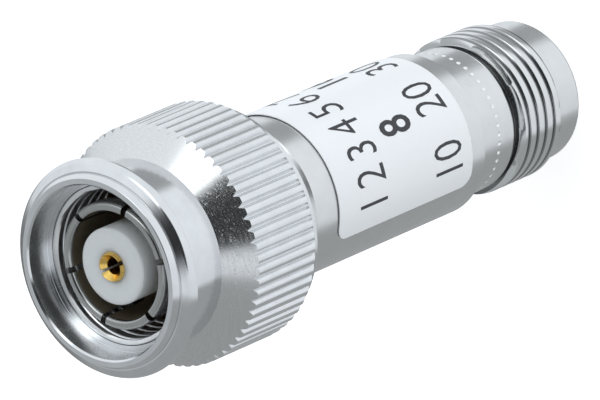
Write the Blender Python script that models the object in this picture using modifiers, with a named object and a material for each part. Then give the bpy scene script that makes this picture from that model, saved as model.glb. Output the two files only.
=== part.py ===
"""An in-line coaxial attenuator: a plug with a knurled coupling nut, a housing and a threaded jack.

The part stands on the end face of its jack. Its axis is +Z, the mouth of the coupling nut is at the
top, and the origin is the centre of the jack's end face. The side with the label's reading is at -Y.
"""
import math

import bmesh
import bpy

MM = 0.001

# Clearances
SEAT_GAP = 0.12 * MM          # between two faces that seat on each other
FIT_GAP = 0.10 * MM           # radial, between pieces that are pressed together
RUNNING_GAP = 0.28 * MM       # radial, between the nut and what it turns on
THRUST_GAP = 0.30 * MM        # axial, between the nut's web and its retaining ring
FILM_GAP = 0.06 * MM          # between the card and what is printed on it

# Jack, from its end face upwards. Every round size of the part goes out from the thread's.
THREAD_DIAMETER = 11.11 * MM
THREAD_DEPTH = 0.49 * MM
THREAD_PITCH = 0.907 * MM
THREAD_RIDGE = 0.36 * MM         # flat along the jack thread's ridge
THREAD_LEAD = 0.3 * MM           # length over which the thread rises at both of its ends
THREAD_PHASE = 0.72 * MM         # turns the threads: how far a root passes below their low end at +X
JACK_END_STEP = 0.555 * MM    # below the thread's crest
JACK_END_LENGTH = 2.45 * MM
JACK_END_CHAMFER = 0.2 * MM
JACK_END_WALL = 0.75 * MM
THREAD_LENGTH = 4.4 * MM
NECK_DEPTH = 0.75 * MM        # below the thread's crest
NECK_LENGTH = 0.45 * MM
LAND_STEP = 0.42 * MM         # below the thread's crest
LAND_LENGTH = 3.95 * MM
LAND_EDGE_RADIUS = 0.35 * MM
JACK_BORE_DEPTH = 5.8 * MM
JACK_MOUTH_CHAMFER = 0.15 * MM
JACK_RELIEF_DEPTH = 0.15 * MM  # of the narrow groove between the end ring and the thread
JACK_RELIEF_LENGTH = 0.25 * MM
SHANK_LENGTH = 4.0 * MM       # of the plug and the jack inside the housing

# Housing sleeve and label
SLEEVE_STEP = 0.165 * MM      # above the thread's crest
SLEEVE_WALL = 1.1 * MM
SLEEVE_LENGTH = 18.35 * MM
SLEEVE_CHAMFER = 0.35 * MM
LABEL_THICKNESS = 0.07 * MM
LABEL_LENGTH = 14.25 * MM
LABEL_SETBACK = 1.55 * MM     # from the sleeve's jack end
LABEL_ARC = math.radians(300)
LABEL_TURN = math.radians(11)  # of the label's middle, from +X towards +Y
LABEL_CORNER_RADIUS = 1.0 * MM

# Plug body
COLLAR_STEP = 0.4 * MM        # above the journal that the nut turns on
COLLAR_LENGTH = 1.0 * MM
JOURNAL_STEP = 0.705 * MM     # below the thread's crest
NOSE_LENGTH = 1.9 * MM        # of the journal in front of the retaining ring
RING_GROOVE_DEPTH = 0.45 * MM
COLLET_SEAT_DEPTH = 1.3 * MM

# Coupling nut, from its rear face upwards
NUT_FREE_PLAY = 1.25 * MM
NUT_RIM_LENGTH = 0.38 * MM
NUT_RIM_STEP = 0.42 * MM      # below the knurl's crest
NUT_WEB_LENGTH = 2.85 * MM
KNURL_STEP = 1.955 * MM       # above the neck
KNURL_LENGTH = 5.8 * MM
KNURL_TEETH = 62
KNURL_DEPTH = 0.27 * MM
KNURL_RIDGE_SHARE = 0.40      # flat part of each tooth
NUT_CONE_LENGTH = 1.5 * MM
NUT_NECK_STEP = 0.865 * MM    # above the thread's crest
NUT_NECK_LENGTH = 3.4 * MM
LIP_STEP = 1.13 * MM          # above the neck
LIP_LENGTH = 1.3 * MM
LIP_EDGE_LENGTH = 0.25 * MM   # straight part of the lip's outer edge
LIP_FACE_WIDTH = 0.36 * MM    # flat ring around the mouth
LIP_GROOVE_STEP = 0.28 * MM   # above the neck
LIP_GROOVE_DEPTH = 0.36 * MM
LIP_BACK_LENGTH = 0.4 * MM
NECK_WALL = 0.42 * MM         # between the neck and the counterbore
MOUTH_CHAMFER = 0.12 * MM
COUNTERBORE_DEPTH = 1.95 * MM
NUT_RELIEF_STEP = 0.195 * MM  # above the thread's crest
NUT_RELIEF_HEIGHT = 0.3 * MM  # above the gasket

# Retaining ring and gasket
RING_THICKNESS = 0.45 * MM
RING_SPLIT = 2.4 * MM
GASKET_WIDTH = 0.85 * MM
GASKET_THICKNESS = 0.6 * MM

# Plug outer contact, with its spring fingers
COLLET_RECESS = 1.6 * MM      # of its tip behind the nut's lip
COLLET_SQUEEZE = 0.1 * MM     # its free tip is larger than the jack's bore by this, in radius
COLLET_TIP_LENGTH = 1.1 * MM
COLLET_WAIST_STEP = 0.2 * MM  # the fingers behind the tip are slimmer by this
COLLET_WALL = 0.45 * MM
COLLET_BASE_STEP = 0.25 * MM
COLLET_FINGERS = 6
COLLET_SLOT_WIDTH = 0.4 * MM
COLLET_SLOT_LENGTH = 4.4 * MM
COLLET_TURN = math.radians(17)

# Insulators and centre contacts
POST_DIAMETER = 5.3 * MM
POST_RECESS = 1.55 * MM
POST_EDGE = 0.12 * MM
INSULATOR_STEP = 1.15 * MM    # below the jack's bore
INSULATOR_FLANGE_LENGTH = 1.5 * MM
SOCKET_DIAMETER = 2.1 * MM
SOCKET_RECESS = 1.3 * MM
SOCKET_LENGTH = 5.6 * MM
SOCKET_HOLE_DIAMETER = 1.3 * MM
SOCKET_HOLE_DEPTH = 4.6 * MM
SOCKET_MOUTH_CHAMFER = 0.2 * MM
SOCKET_SLIT_WIDTH = 0.14 * MM
SOCKET_SLIT_LENGTH = 3.6 * MM
CORE_DIAMETER = 1.9 * MM      # of both conductors inside their insulators
PIN_DIAMETER = 1.36 * MM
PIN_RECESS = 2.1 * MM
PIN_SHOULDER_DIAMETER = 2.1 * MM
PIN_SHOULDER_LENGTH = 1.2 * MM
JACK_INSULATOR_SETBACK = 0.3 * MM  # of its front behind the bore's floor
LINE_BORE_STEP = 0.9 * MM     # of the air line in the shanks, below the insulators
LINE_BORE_LENGTH = 3.6 * MM

# Seal rings
SEAL_SECTION = 0.75 * MM
SEAL_SETBACK = 1.2 * MM       # of its middle from the sleeve's end
SEAL_SQUEEZE_GAP = 0.12 * MM

# Shield halves and attenuator card
CARD_INSET = 1.02 * MM        # of the card's edges from the shield's outside
CARD_THICKNESS = 0.5 * MM
CARD_END_MARGIN = 0.5 * MM    # from the card's end to the shield's end
CARD_EDGE_HOLD = 0.55 * MM    # how far the shield holds the card's edges
CHANNEL_HEIGHT = 3.2 * MM
FORK_REACH = 1.0 * MM         # of a contact's fork over the card's end
FILM_THICKNESS = 0.1 * MM
TRACK_WIDTH = 1.1 * MM
PAD_LENGTH = 1.6 * MM
NODE_LENGTH = 1.0 * MM
FILM_SPACE = 0.1 * MM
GROUND_WIDTH = 1.0 * MM

# Facets of round pieces
BODY_STEPS = 48
SMALL_STEPS = 32
SEAL_STEPS = 6                # round a seal ring's section
EDGE_STEPS = 3                # over a rounded edge
NOSE_STEPS = 4                # over the pin's nose
LABEL_CORNER_STEPS = 4
LABEL_STEPS = 46              # round the label between its corners

# Places along the axis
Z_THREAD = JACK_END_LENGTH
Z_NECK = Z_THREAD + THREAD_LENGTH
Z_LAND = Z_NECK + NECK_LENGTH
Z_SHOULDER = Z_LAND + LAND_LENGTH
Z_SLEEVE = Z_SHOULDER + SEAT_GAP
Z_SLEEVE_TOP = Z_SLEEVE + SLEEVE_LENGTH
Z_COLLAR = Z_SLEEVE_TOP + SEAT_GAP
Z_JOURNAL = Z_COLLAR + COLLAR_LENGTH
Z_NUT = Z_JOURNAL + NUT_FREE_PLAY
Z_WEB_TOP = Z_NUT + NUT_WEB_LENGTH
Z_RING = Z_WEB_TOP + THRUST_GAP
Z_NOSE = Z_RING + RING_THICKNESS + SEAT_GAP
Z_NOSE_TOP = Z_NOSE + NOSE_LENGTH
Z_GASKET = Z_NOSE_TOP + SEAT_GAP
Z_RELIEF_TOP = Z_GASKET + GASKET_THICKNESS + NUT_RELIEF_HEIGHT
Z_COLLET_SEAT = Z_NOSE_TOP - COLLET_SEAT_DEPTH
Z_JACK_INSULATOR = JACK_BORE_DEPTH + JACK_INSULATOR_SETBACK
Z_KNURL = Z_NUT + NUT_RIM_LENGTH + NUT_RIM_STEP
Z_CONE = Z_KNURL + KNURL_LENGTH
Z_NUT_NECK = Z_CONE + NUT_CONE_LENGTH
Z_LIP_BACK = Z_NUT_NECK + NUT_NECK_LENGTH
Z_LIP = Z_LIP_BACK + LIP_BACK_LENGTH
Z_TOP = Z_LIP + LIP_LENGTH
Z_COLLET_TIP = Z_TOP - COLLET_RECESS
Z_POST = Z_TOP - POST_RECESS
Z_SOCKET = Z_TOP - SOCKET_RECESS
Z_SOCKET_END = Z_SOCKET - SOCKET_LENGTH
Z_PLUG_END = Z_SLEEVE_TOP - SHANK_LENGTH
Z_JACK_END = Z_SLEEVE + SHANK_LENGTH
Z_SHIELD = Z_JACK_END + SEAT_GAP
Z_SHIELD_TOP = Z_PLUG_END - SEAT_GAP
Z_CARD = Z_SHIELD + CARD_END_MARGIN
Z_CARD_TOP = Z_SHIELD_TOP - CARD_END_MARGIN

# Radii that follow from the sizes above
R_THREAD = THREAD_DIAMETER / 2
R_JACK_END = R_THREAD - JACK_END_STEP
R_JACK_BORE = R_JACK_END - JACK_END_WALL
R_NECK = R_THREAD - NECK_DEPTH
R_LAND = R_THREAD - LAND_STEP
R_SLEEVE = R_THREAD + SLEEVE_STEP
R_SLEEVE_BORE = R_SLEEVE - SLEEVE_WALL
R_SHANK = R_SLEEVE_BORE - FIT_GAP
R_JOURNAL = R_THREAD - JOURNAL_STEP
R_COLLAR = R_JOURNAL + COLLAR_STEP
R_WEB_BORE = R_JOURNAL + RUNNING_GAP
R_RELIEF = R_THREAD + NUT_RELIEF_STEP
R_NUT_THREAD = R_THREAD - THREAD_DEPTH + FIT_GAP
R_NUT_ROOT = R_THREAD + FIT_GAP / 2
R_NUT_NECK = R_THREAD + NUT_NECK_STEP
R_KNURL = R_NUT_NECK + KNURL_STEP
R_LIP = R_NUT_NECK + LIP_STEP
R_LIP_GROOVE = R_NUT_NECK + LIP_GROOVE_STEP
R_COUNTERBORE = R_NUT_NECK - NECK_WALL
R_COLLET_TIP = R_JACK_BORE + COLLET_SQUEEZE
R_COLLET = R_COLLET_TIP - COLLET_WAIST_STEP
R_COLLET_BORE = R_COLLET - COLLET_WALL
R_COLLET_BASE = R_COLLET + COLLET_BASE_STEP
R_POST = POST_DIAMETER / 2
R_INSULATOR = R_JACK_BORE - INSULATOR_STEP
R_LINE = R_INSULATOR - LINE_BORE_STEP
R_CORE = CORE_DIAMETER / 2
R_PIN = PIN_DIAMETER / 2
CARD_HALF_WIDTH = R_SHANK - CARD_INSET
FORK_SLOT = CARD_THICKNESS + 2 * (FILM_GAP + FILM_THICKNESS + SEAT_GAP)


def clear_scene():
    """Removes the objects of the scene that the script starts in."""
    for obj in list(bpy.data.objects):
        bpy.data.objects.remove(obj, do_unlink=True)


def new_collection(name):
    """Returns a new collection of the scene."""
    collection = bpy.data.collections.new(name)
    bpy.context.scene.collection.children.link(collection)
    return collection


def finish(name, colour, roughness, metallic):
    """Returns a material of one colour."""
    material = bpy.data.materials.new(name)
    material.use_nodes = True
    shader = material.node_tree.nodes["Principled BSDF"]
    shader.inputs["Base Color"].default_value = (*colour, 1.0)
    shader.inputs["Roughness"].default_value = roughness
    shader.inputs["Metallic"].default_value = metallic
    return material


def mesh_object(name, mesh, collection, material=None):
    """Links a mesh to the scene as a named object."""
    obj = bpy.data.objects.new(name, mesh)
    collection.objects.link(obj)
    if material is not None:
        mesh.materials.append(material)
    return obj


def bezel(r_from, z_from, r_to, z_to, steps, bulge_out=True):
    """Returns the points of a quarter ellipse between two points of a profile, ends included."""
    points = []
    for i in range(steps + 1):
        angle = math.pi / 2 * i / steps
        if bulge_out:
            across, down = math.sin(angle), 1 - math.cos(angle)
        else:
            across, down = 1 - math.cos(angle), math.sin(angle)
        points.append((r_from + (r_to - r_from) * across, z_from + (z_to - z_from) * down))
    return points


def turned(name, profile, collection, material, steps=BODY_STEPS, closed=True):
    """Turns a profile about the Z axis.

    The profile is a list of (radius, height), down the outer side first. A closed one goes round
    a ring's section, and an open one starts and ends on the axis.
    """
    mesh = bpy.data.meshes.new(name)
    count = len(profile)
    edges = [(i, i + 1) for i in range(count - 1)]
    if closed:
        edges.append((count - 1, 0))
    mesh.from_pydata([(radius, 0.0, height) for radius, height in profile], edges, [])
    obj = mesh_object(name, mesh, collection, material)
    screw = obj.modifiers.new("turn", "SCREW")
    screw.axis = "Z"
    screw.angle = 2 * math.pi
    screw.steps = steps
    screw.render_steps = steps
    screw.use_merge_vertices = True
    screw.merge_threshold = 0.00001
    screw.use_smooth_shade = True
    return obj


def thread_rows(r_ridge, r_root, z_low, z_high, ridge, steps):
    """Returns the rows of a right-hand thread from the low end up, and how many of them make a pitch.

    Each row has one point (radius, height) for every step of the turn. It climbs one pitch in a turn,
    and goes on there as the row one pitch higher. At both ends of the thread the rows run together.
    """
    flank = (THREAD_PITCH - ridge) / 2
    marks = [(0.0, 0.0), (flank, 1.0)]
    if ridge:
        marks.append((flank + ridge, 1.0))
    rise = THREAD_PITCH / steps
    z_start = z_low - THREAD_PITCH - THREAD_PHASE
    turns = math.ceil((z_high - z_start) / THREAD_PITCH) + 1
    rows = []
    for turn in range(turns):
        for offset, share in marks:
            row = []
            for i in range(steps):
                height = z_start + turn * THREAD_PITCH + offset + i * rise
                if height < z_low + rise / 2:
                    height = z_low
                if height > z_high - rise / 2:
                    height = z_high
                grown = min(share, (height - z_low) / THREAD_LEAD, (z_high - height) / THREAD_LEAD)
                row.append((r_root + (r_ridge - r_root) * grown, height))
            rows.append(row)
    return rows, len(marks)


def turned_with_thread(name, profile, end, r_ridge, ridge, collection, material, steps):
    """Turns a closed profile about the Z axis, with a thread between the point at end and the next.

    Both of these points lie at the thread's root. No modifier turns a profile that climbs on one
    stretch only, so the faces are laid between the profile's rows here.
    """
    (r_root, z_first), (_, z_second) = profile[end], profile[end + 1]
    z_low, z_high = sorted((z_first, z_second))
    rows, per_pitch = thread_rows(r_ridge, r_root, z_low, z_high, ridge, steps)
    shape = bmesh.new()

    def laid(row):
        """Adds a row's points to the shape."""
        points = []
        for i, (radius, height) in enumerate(row):
            turn = 2 * math.pi * i / steps
            points.append(shape.verts.new((radius * math.cos(turn), radius * math.sin(turn), height)))
        return points

    circles = [laid([point] * steps) for point in profile]
    climbing = [laid(row) for row in rows]
    followers = [row[0] for row in climbing[per_pitch:]]
    followers += [shape.verts.new((r_root, 0.0, z_high)) for _ in range(per_pitch)]
    strip = [row + [follower] for row, follower in zip(climbing, followers)]
    if z_first > z_second:
        strip.reverse()
    closed_circles = [circle + [circle[0]] for circle in circles]
    skin = closed_circles[: end + 1] + strip + closed_circles[end + 1 :]
    for first, second in zip(skin, skin[1:] + skin[:1]):
        for i in range(steps):
            shape.faces.new((first[i], second[i], second[i + 1], first[i + 1]))
    bmesh.ops.remove_doubles(shape, verts=shape.verts, dist=THREAD_LEAD / 1000)
    bmesh.ops.recalc_face_normals(shape, faces=shape.faces)
    mesh = bpy.data.meshes.new(name)
    shape.to_mesh(mesh)
    shape.free()
    return mesh_object(name, mesh, collection, material)


def box_mesh(name, low, high):
    """Returns a mesh box between two corners."""
    mesh = bpy.data.meshes.new(name)
    shape = bmesh.new()
    bmesh.ops.create_cube(shape, size=1.0)
    for vert in shape.verts:
        for axis in range(3):
            middle = (low[axis] + high[axis]) / 2
            vert.co[axis] = middle + vert.co[axis] * (high[axis] - low[axis])
    shape.to_mesh(mesh)
    shape.free()
    return mesh


def box(name, low, high, collection, material):
    """Makes a box between two corners."""
    return mesh_object(name, box_mesh(name, low, high), collection, material)


def as_cutter(obj):
    """Marks an object as a cutter, which isn't part of the model."""
    obj.hide_render = True
    obj.display_type = "WIRE"
    return obj


def cut(obj, cutter, operation="DIFFERENCE"):
    """Adds a Boolean with a cutter to an object."""
    boolean = obj.modifiers.new("cut", "BOOLEAN")
    boolean.operation = operation
    boolean.solver = "EXACT"
    boolean.object = cutter


def cutter_box(name, low, high, cutters):
    """Makes a box that cuts."""
    return as_cutter(mesh_object(name, box_mesh(name, low, high), cutters))


def make_coupling_nut(parts, cutters, metal):
    """The knurled nut: lip, neck, cone, straight knurl and rear rim, with a thread bore and a web."""
    r_rim = R_KNURL - NUT_RIM_STEP
    z_bead = Z_LIP + LIP_EDGE_LENGTH
    z_groove = Z_TOP - LIP_GROOVE_DEPTH
    z_counterbore = Z_TOP - COUNTERBORE_DEPTH
    r_mouth = R_COUNTERBORE + MOUTH_CHAMFER
    profile = [(r_mouth, Z_TOP), (r_mouth + LIP_FACE_WIDTH, Z_TOP), (R_LIP_GROOVE, z_groove)]
    profile += bezel(R_LIP_GROOVE, z_groove - MOUTH_CHAMFER, R_LIP, z_bead, EDGE_STEPS)
    profile += [
        (R_LIP, Z_LIP),
        (R_NUT_NECK, Z_LIP_BACK),
        (R_NUT_NECK, Z_NUT_NECK),
        (R_KNURL, Z_CONE),
        (R_KNURL, Z_KNURL),
        (r_rim, Z_KNURL - NUT_RIM_STEP),
        (r_rim, Z_NUT + SEAT_GAP),
        (r_rim - SEAT_GAP, Z_NUT),
        (R_WEB_BORE, Z_NUT),
        (R_WEB_BORE, Z_WEB_TOP),
        (R_RELIEF, Z_WEB_TOP),
        (R_RELIEF, Z_RELIEF_TOP),
        (R_NUT_ROOT, Z_RELIEF_TOP),
        (R_NUT_ROOT, z_counterbore),
        (R_COUNTERBORE, z_counterbore),
        (R_COUNTERBORE, Z_TOP - MOUTH_CHAMFER),
    ]
    end = profile.index((R_NUT_ROOT, Z_RELIEF_TOP))
    nut = turned_with_thread("coupling_nut", profile, end, R_NUT_THREAD, 0.0, parts, metal, KNURL_TEETH)
    cut(nut, make_knurl_cutter(cutters))
    return nut


def make_knurl_cutter(cutters):
    """One V-shaped groove for each tooth, joined in one cutter. They run out in the nut's cone."""
    pitch = 2 * math.pi / KNURL_TEETH
    half = pitch * (1 - KNURL_RIDGE_SHARE) / 2
    r_floor = R_KNURL - KNURL_DEPTH
    r_outside = R_KNURL + KNURL_DEPTH
    half_outside = half * R_KNURL * (r_outside - r_floor) / (R_KNURL - r_floor)
    shape = bmesh.new()
    for tooth in range(KNURL_TEETH):
        turn = tooth * pitch
        along = (math.cos(turn), math.sin(turn))
        across = (-math.sin(turn), math.cos(turn))
        ring = []
        for reach, side in ((r_floor, 0.0), (r_outside, -half_outside), (r_outside, half_outside)):
            x = along[0] * reach + across[0] * side
            y = along[1] * reach + across[1] * side
            ring.append((x, y))
        low = [shape.verts.new((x, y, Z_NUT - NUT_RIM_STEP)) for x, y in ring]
        floor = shape.faces.new(low)
        raised = bmesh.ops.extrude_face_region(shape, geom=[floor])
        lifted = [item for item in raised["geom"] if isinstance(item, bmesh.types.BMVert)]
        bmesh.ops.translate(shape, verts=lifted, vec=(0, 0, Z_NUT_NECK - Z_NUT + NUT_RIM_STEP))
    bmesh.ops.recalc_face_normals(shape, faces=shape.faces)
    mesh = bpy.data.meshes.new("knurl_cutter")
    shape.to_mesh(mesh)
    shape.free()
    return as_cutter(mesh_object("knurl_cutter", mesh, cutters))


def make_retaining_ring(parts, cutters, metal):
    """The split ring in the plug body's groove, which the nut's web pushes on."""
    r_inner = R_JOURNAL - RING_GROOVE_DEPTH + FIT_GAP
    r_outer = R_RELIEF - RUNNING_GAP
    z_top = Z_RING + RING_THICKNESS
    profile = [(r_outer, z_top), (r_outer, Z_RING), (r_inner, Z_RING), (r_inner, z_top)]
    ring = turned("nut_retaining_ring", profile, parts, metal)
    low = (0, -RING_SPLIT / 2, Z_RING - SEAT_GAP)
    high = (2 * r_outer, RING_SPLIT / 2, z_top + SEAT_GAP)
    cut(ring, cutter_box("ring_split_cutter", low, high, cutters))
    return ring


def make_gasket(parts, rubber):
    """The flat gasket that the mating jack's end face presses on."""
    r_inner = R_COLLET + SEAT_GAP
    r_outer = r_inner + GASKET_WIDTH
    z_top = Z_GASKET + GASKET_THICKNESS
    profile = [(r_outer, z_top), (r_outer, Z_GASKET), (r_inner, Z_GASKET), (r_inner, z_top)]
    return turned("sealing_gasket", profile, parts, rubber, steps=SMALL_STEPS)


def seal_groove(z_middle):
    """Returns the outer points of a seal ring's groove, from its top down."""
    half = SEAL_SECTION / 2 + SEAT_GAP
    r_floor = R_SLEEVE_BORE - SEAL_SQUEEZE_GAP - SEAL_SECTION - FIT_GAP
    return [
        (R_SHANK, z_middle + half),
        (r_floor, z_middle + half),
        (r_floor, z_middle - half),
        (R_SHANK, z_middle - half),
    ]


def make_seal_ring(name, z_middle, parts, rubber):
    """A round seal ring in a shank's groove."""
    r_middle = R_SLEEVE_BORE - SEAL_SQUEEZE_GAP - SEAL_SECTION / 2
    profile = []
    for i in range(SEAL_STEPS):
        angle = math.pi / 2 - 2 * math.pi * i / SEAL_STEPS
        radius = r_middle + SEAL_SECTION / 2 * math.cos(angle)
        profile.append((radius, z_middle + SEAL_SECTION / 2 * math.sin(angle)))
    return turned(name, profile, parts, rubber, steps=SMALL_STEPS)


def make_plug_body(parts, metal):
    """The plug's body: shank, collar, journal with a ring groove, and nose, with a stepped bore."""
    r_groove = R_JOURNAL - RING_GROOVE_DEPTH
    r_seat = R_COLLET_BASE + FIT_GAP
    r_bore = R_INSULATOR + FIT_GAP
    z_groove = Z_RING - SEAT_GAP
    z_line_top = Z_PLUG_END + LINE_BORE_LENGTH
    profile = [
        (R_JOURNAL, Z_NOSE_TOP),
        (R_JOURNAL, Z_NOSE),
        (r_groove, Z_NOSE),
        (r_groove, z_groove),
        (R_JOURNAL, z_groove),
        (R_JOURNAL, Z_JOURNAL),
        (R_COLLAR, Z_JOURNAL),
        (R_COLLAR, Z_COLLAR),
        (R_SHANK, Z_COLLAR),
    ]
    profile += seal_groove(Z_SLEEVE_TOP - SEAL_SETBACK)
    profile += [
        (R_SHANK, Z_PLUG_END),
        (R_LINE, Z_PLUG_END),
        (R_LINE, z_line_top),
        (r_bore, z_line_top),
        (r_bore, Z_COLLET_SEAT),
        (r_seat, Z_COLLET_SEAT),
        (r_seat, Z_NOSE_TOP),
    ]
    return turned("plug_body", profile, parts, metal)


def make_outer_contact(parts, cutters, metal):
    """The plug's slotted outer contact: a base, a slim waist and six sprung fingers with a round tip."""
    z_base = Z_COLLET_SEAT + SEAT_GAP
    z_tip_back = Z_COLLET_TIP - COLLET_TIP_LENGTH
    r_tip_bore = R_COLLET_BORE
    edge = (R_COLLET_TIP - r_tip_bore) / 2
    z_edge = Z_COLLET_TIP - edge
    r_crown = r_tip_bore + edge
    profile = bezel(r_crown, Z_COLLET_TIP, R_COLLET_TIP, z_edge, EDGE_STEPS)
    profile += [
        (R_COLLET_TIP, z_tip_back),
        (R_COLLET, z_tip_back - COLLET_WAIST_STEP),
        (R_COLLET, Z_NOSE_TOP),
        (R_COLLET_BASE, Z_NOSE_TOP),
        (R_COLLET_BASE, z_base),
        (r_tip_bore, z_base),
        (r_tip_bore, z_edge),
    ]
    profile += bezel(r_tip_bore, z_edge, r_crown, Z_COLLET_TIP, EDGE_STEPS, bulge_out=False)[1:-1]
    contact = turned("plug_outer_contact", profile, parts, metal)
    for pair in range(COLLET_FINGERS // 2):
        reach = 2 * R_COLLET_TIP
        low = (-reach, -COLLET_SLOT_WIDTH / 2, Z_COLLET_TIP - COLLET_SLOT_LENGTH)
        high = (reach, COLLET_SLOT_WIDTH / 2, Z_COLLET_TIP + COLLET_TIP_LENGTH)
        slot = cutter_box(f"finger_slot_cutter_{pair}", low, high, cutters)
        slot.rotation_euler.z = COLLET_TURN + pair * 2 * math.pi / COLLET_FINGERS
        cut(contact, slot)
    return contact


def make_plug_insulator(parts, plastic):
    """The plug's insulator: a post in the mouth, a flange in the contact and a barrel in the body."""
    r_flange = R_COLLET_BORE - FIT_GAP
    z_flange_top = Z_COLLET_SEAT + SEAT_GAP + INSULATOR_FLANGE_LENGTH
    z_flange = Z_COLLET_SEAT + SEAT_GAP
    z_end = Z_PLUG_END + LINE_BORE_LENGTH + SEAT_GAP
    r_socket = SOCKET_DIAMETER / 2 + FIT_GAP
    r_core = R_CORE + FIT_GAP
    profile = [
        (R_POST - POST_EDGE, Z_POST),
        (R_POST, Z_POST - POST_EDGE),
        (R_POST, z_flange_top),
        (r_flange, z_flange_top),
        (r_flange, z_flange),
        (R_INSULATOR, z_flange),
        (R_INSULATOR, z_end),
        (r_core, z_end),
        (r_core, Z_SOCKET_END - SEAT_GAP),
        (r_socket, Z_SOCKET_END - SEAT_GAP),
        (r_socket, Z_POST),
    ]
    return turned("plug_insulator", profile, parts, plastic, steps=SMALL_STEPS)


def make_centre_socket(parts, cutters, gold):
    """The plug's centre contact: a slit socket in the post, a core and a fork that grips the card."""
    r_socket = SOCKET_DIAMETER / 2
    r_hole = SOCKET_HOLE_DIAMETER / 2
    z_floor = Z_SOCKET - SOCKET_HOLE_DEPTH
    z_end = Z_CARD_TOP - FORK_REACH
    profile = [
        (0.0, z_floor),
        (r_hole, z_floor),
        (r_hole, Z_SOCKET - SOCKET_MOUTH_CHAMFER),
        (r_hole + SOCKET_MOUTH_CHAMFER, Z_SOCKET),
        (r_socket, Z_SOCKET),
        (r_socket, Z_SOCKET_END),
        (R_CORE, Z_SOCKET_END),
        (R_CORE, z_end),
        (0.0, z_end),
    ]
    contact = turned("plug_centre_contact", profile, parts, gold, steps=SMALL_STEPS, closed=False)
    low = (-SOCKET_SLIT_WIDTH / 2, -2 * r_socket, Z_SOCKET - SOCKET_SLIT_LENGTH)
    high = (SOCKET_SLIT_WIDTH / 2, 2 * r_socket, Z_SOCKET + SOCKET_MOUTH_CHAMFER)
    cut(contact, cutter_box("socket_slit_cutter", low, high, cutters))
    low = (-2 * R_CORE, -FORK_SLOT / 2, z_end - FORK_REACH)
    high = (2 * R_CORE, FORK_SLOT / 2, Z_CARD_TOP + SEAT_GAP)
    cut(contact, cutter_box("plug_fork_cutter", low, high, cutters))
    return contact


def make_housing_sleeve(parts, metal):
    """The plain tube between the plug and the jack."""
    r_edge = R_SLEEVE - SLEEVE_CHAMFER
    profile = [
        (r_edge, Z_SLEEVE_TOP),
        (R_SLEEVE, Z_SLEEVE_TOP - SLEEVE_CHAMFER),
        (R_SLEEVE, Z_SLEEVE + SEAT_GAP),
        (R_SLEEVE - SEAT_GAP, Z_SLEEVE),
        (R_SLEEVE_BORE, Z_SLEEVE),
        (R_SLEEVE_BORE, Z_SLEEVE_TOP),
    ]
    return turned("housing_sleeve", profile, parts, metal)


def make_rating_label(parts, film):
    """The thin label around the sleeve, with rounded corners, as a wrapped grid with a thickness."""
    r_inner = R_SLEEVE + FILM_GAP
    z_middle = Z_SLEEVE + LABEL_SETBACK + LABEL_LENGTH / 2
    corner_arc = LABEL_CORNER_RADIUS / r_inner
    columns = []
    for i in range(LABEL_CORNER_STEPS + 1):
        inset = corner_arc * (1 - math.cos(math.pi / 2 * i / LABEL_CORNER_STEPS))
        drop = LABEL_CORNER_RADIUS * (1 - math.sin(math.pi / 2 * i / LABEL_CORNER_STEPS))
        columns.append((inset, drop))
    for i in range(1, LABEL_STEPS):
        inset = corner_arc + (LABEL_ARC - 2 * corner_arc) * i / LABEL_STEPS
        columns.append((inset, 0.0))
    for i in range(LABEL_CORNER_STEPS, -1, -1):
        inset, drop = columns[i]
        columns.append((LABEL_ARC - inset, drop))
    shape = bmesh.new()
    bmesh.ops.create_grid(shape, x_segments=len(columns) - 1, y_segments=1, size=1.0)
    for vert in shape.verts:
        column = round((vert.co.x + 1) / 2 * (len(columns) - 1))
        inset, drop = columns[column]
        turn = LABEL_TURN - LABEL_ARC / 2 + inset
        height = z_middle + math.copysign(LABEL_LENGTH / 2 - drop, vert.co.y)
        vert.co = (r_inner * math.cos(turn), r_inner * math.sin(turn), height)
    mesh = bpy.data.meshes.new("rating_label")
    shape.to_mesh(mesh)
    shape.free()
    label = mesh_object("rating_label", mesh, parts, film)
    solid = label.modifiers.new("thickness", "SOLIDIFY")
    solid.thickness = LABEL_THICKNESS
    solid.offset = 1.0
    return label


def make_jack_body(parts, metal):
    """The jack's body: end ring, thread barrel, relief neck, land and shank, with a stepped bore."""
    r_bore = R_INSULATOR + FIT_GAP
    r_root = R_THREAD - THREAD_DEPTH
    r_relief = R_JACK_END - JACK_RELIEF_DEPTH
    z_relief = Z_THREAD + JACK_RELIEF_LENGTH
    z_edge = Z_LAND + LAND_EDGE_RADIUS
    z_line = Z_JACK_END - LINE_BORE_LENGTH
    profile = [(R_SHANK, Z_JACK_END)]
    profile += seal_groove(Z_SLEEVE + SEAL_SETBACK)
    profile += [(R_SHANK, Z_SHOULDER), (R_LAND, Z_SHOULDER)]
    profile += bezel(R_LAND, z_edge, R_LAND - LAND_EDGE_RADIUS, Z_LAND, EDGE_STEPS, bulge_out=False)
    profile += [
        (R_NECK, Z_LAND),
        (R_NECK, Z_NECK),
        (r_root, Z_NECK),
        (r_root, z_relief),
        (r_relief, z_relief),
        (r_relief, Z_THREAD),
        (R_JACK_END, Z_THREAD),
        (R_JACK_END, JACK_END_CHAMFER),
        (R_JACK_END - JACK_END_CHAMFER, 0.0),
        (R_JACK_BORE + JACK_MOUTH_CHAMFER, 0.0),
        (R_JACK_BORE, JACK_MOUTH_CHAMFER),
        (R_JACK_BORE, JACK_BORE_DEPTH),
        (r_bore, JACK_BORE_DEPTH),
        (r_bore, z_line),
        (R_LINE, z_line),
        (R_LINE, Z_JACK_END),
    ]
    end = profile.index((r_root, Z_NECK))
    return turned_with_thread("jack_body", profile, end, R_THREAD, THREAD_RIDGE, parts, metal, BODY_STEPS)


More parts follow.
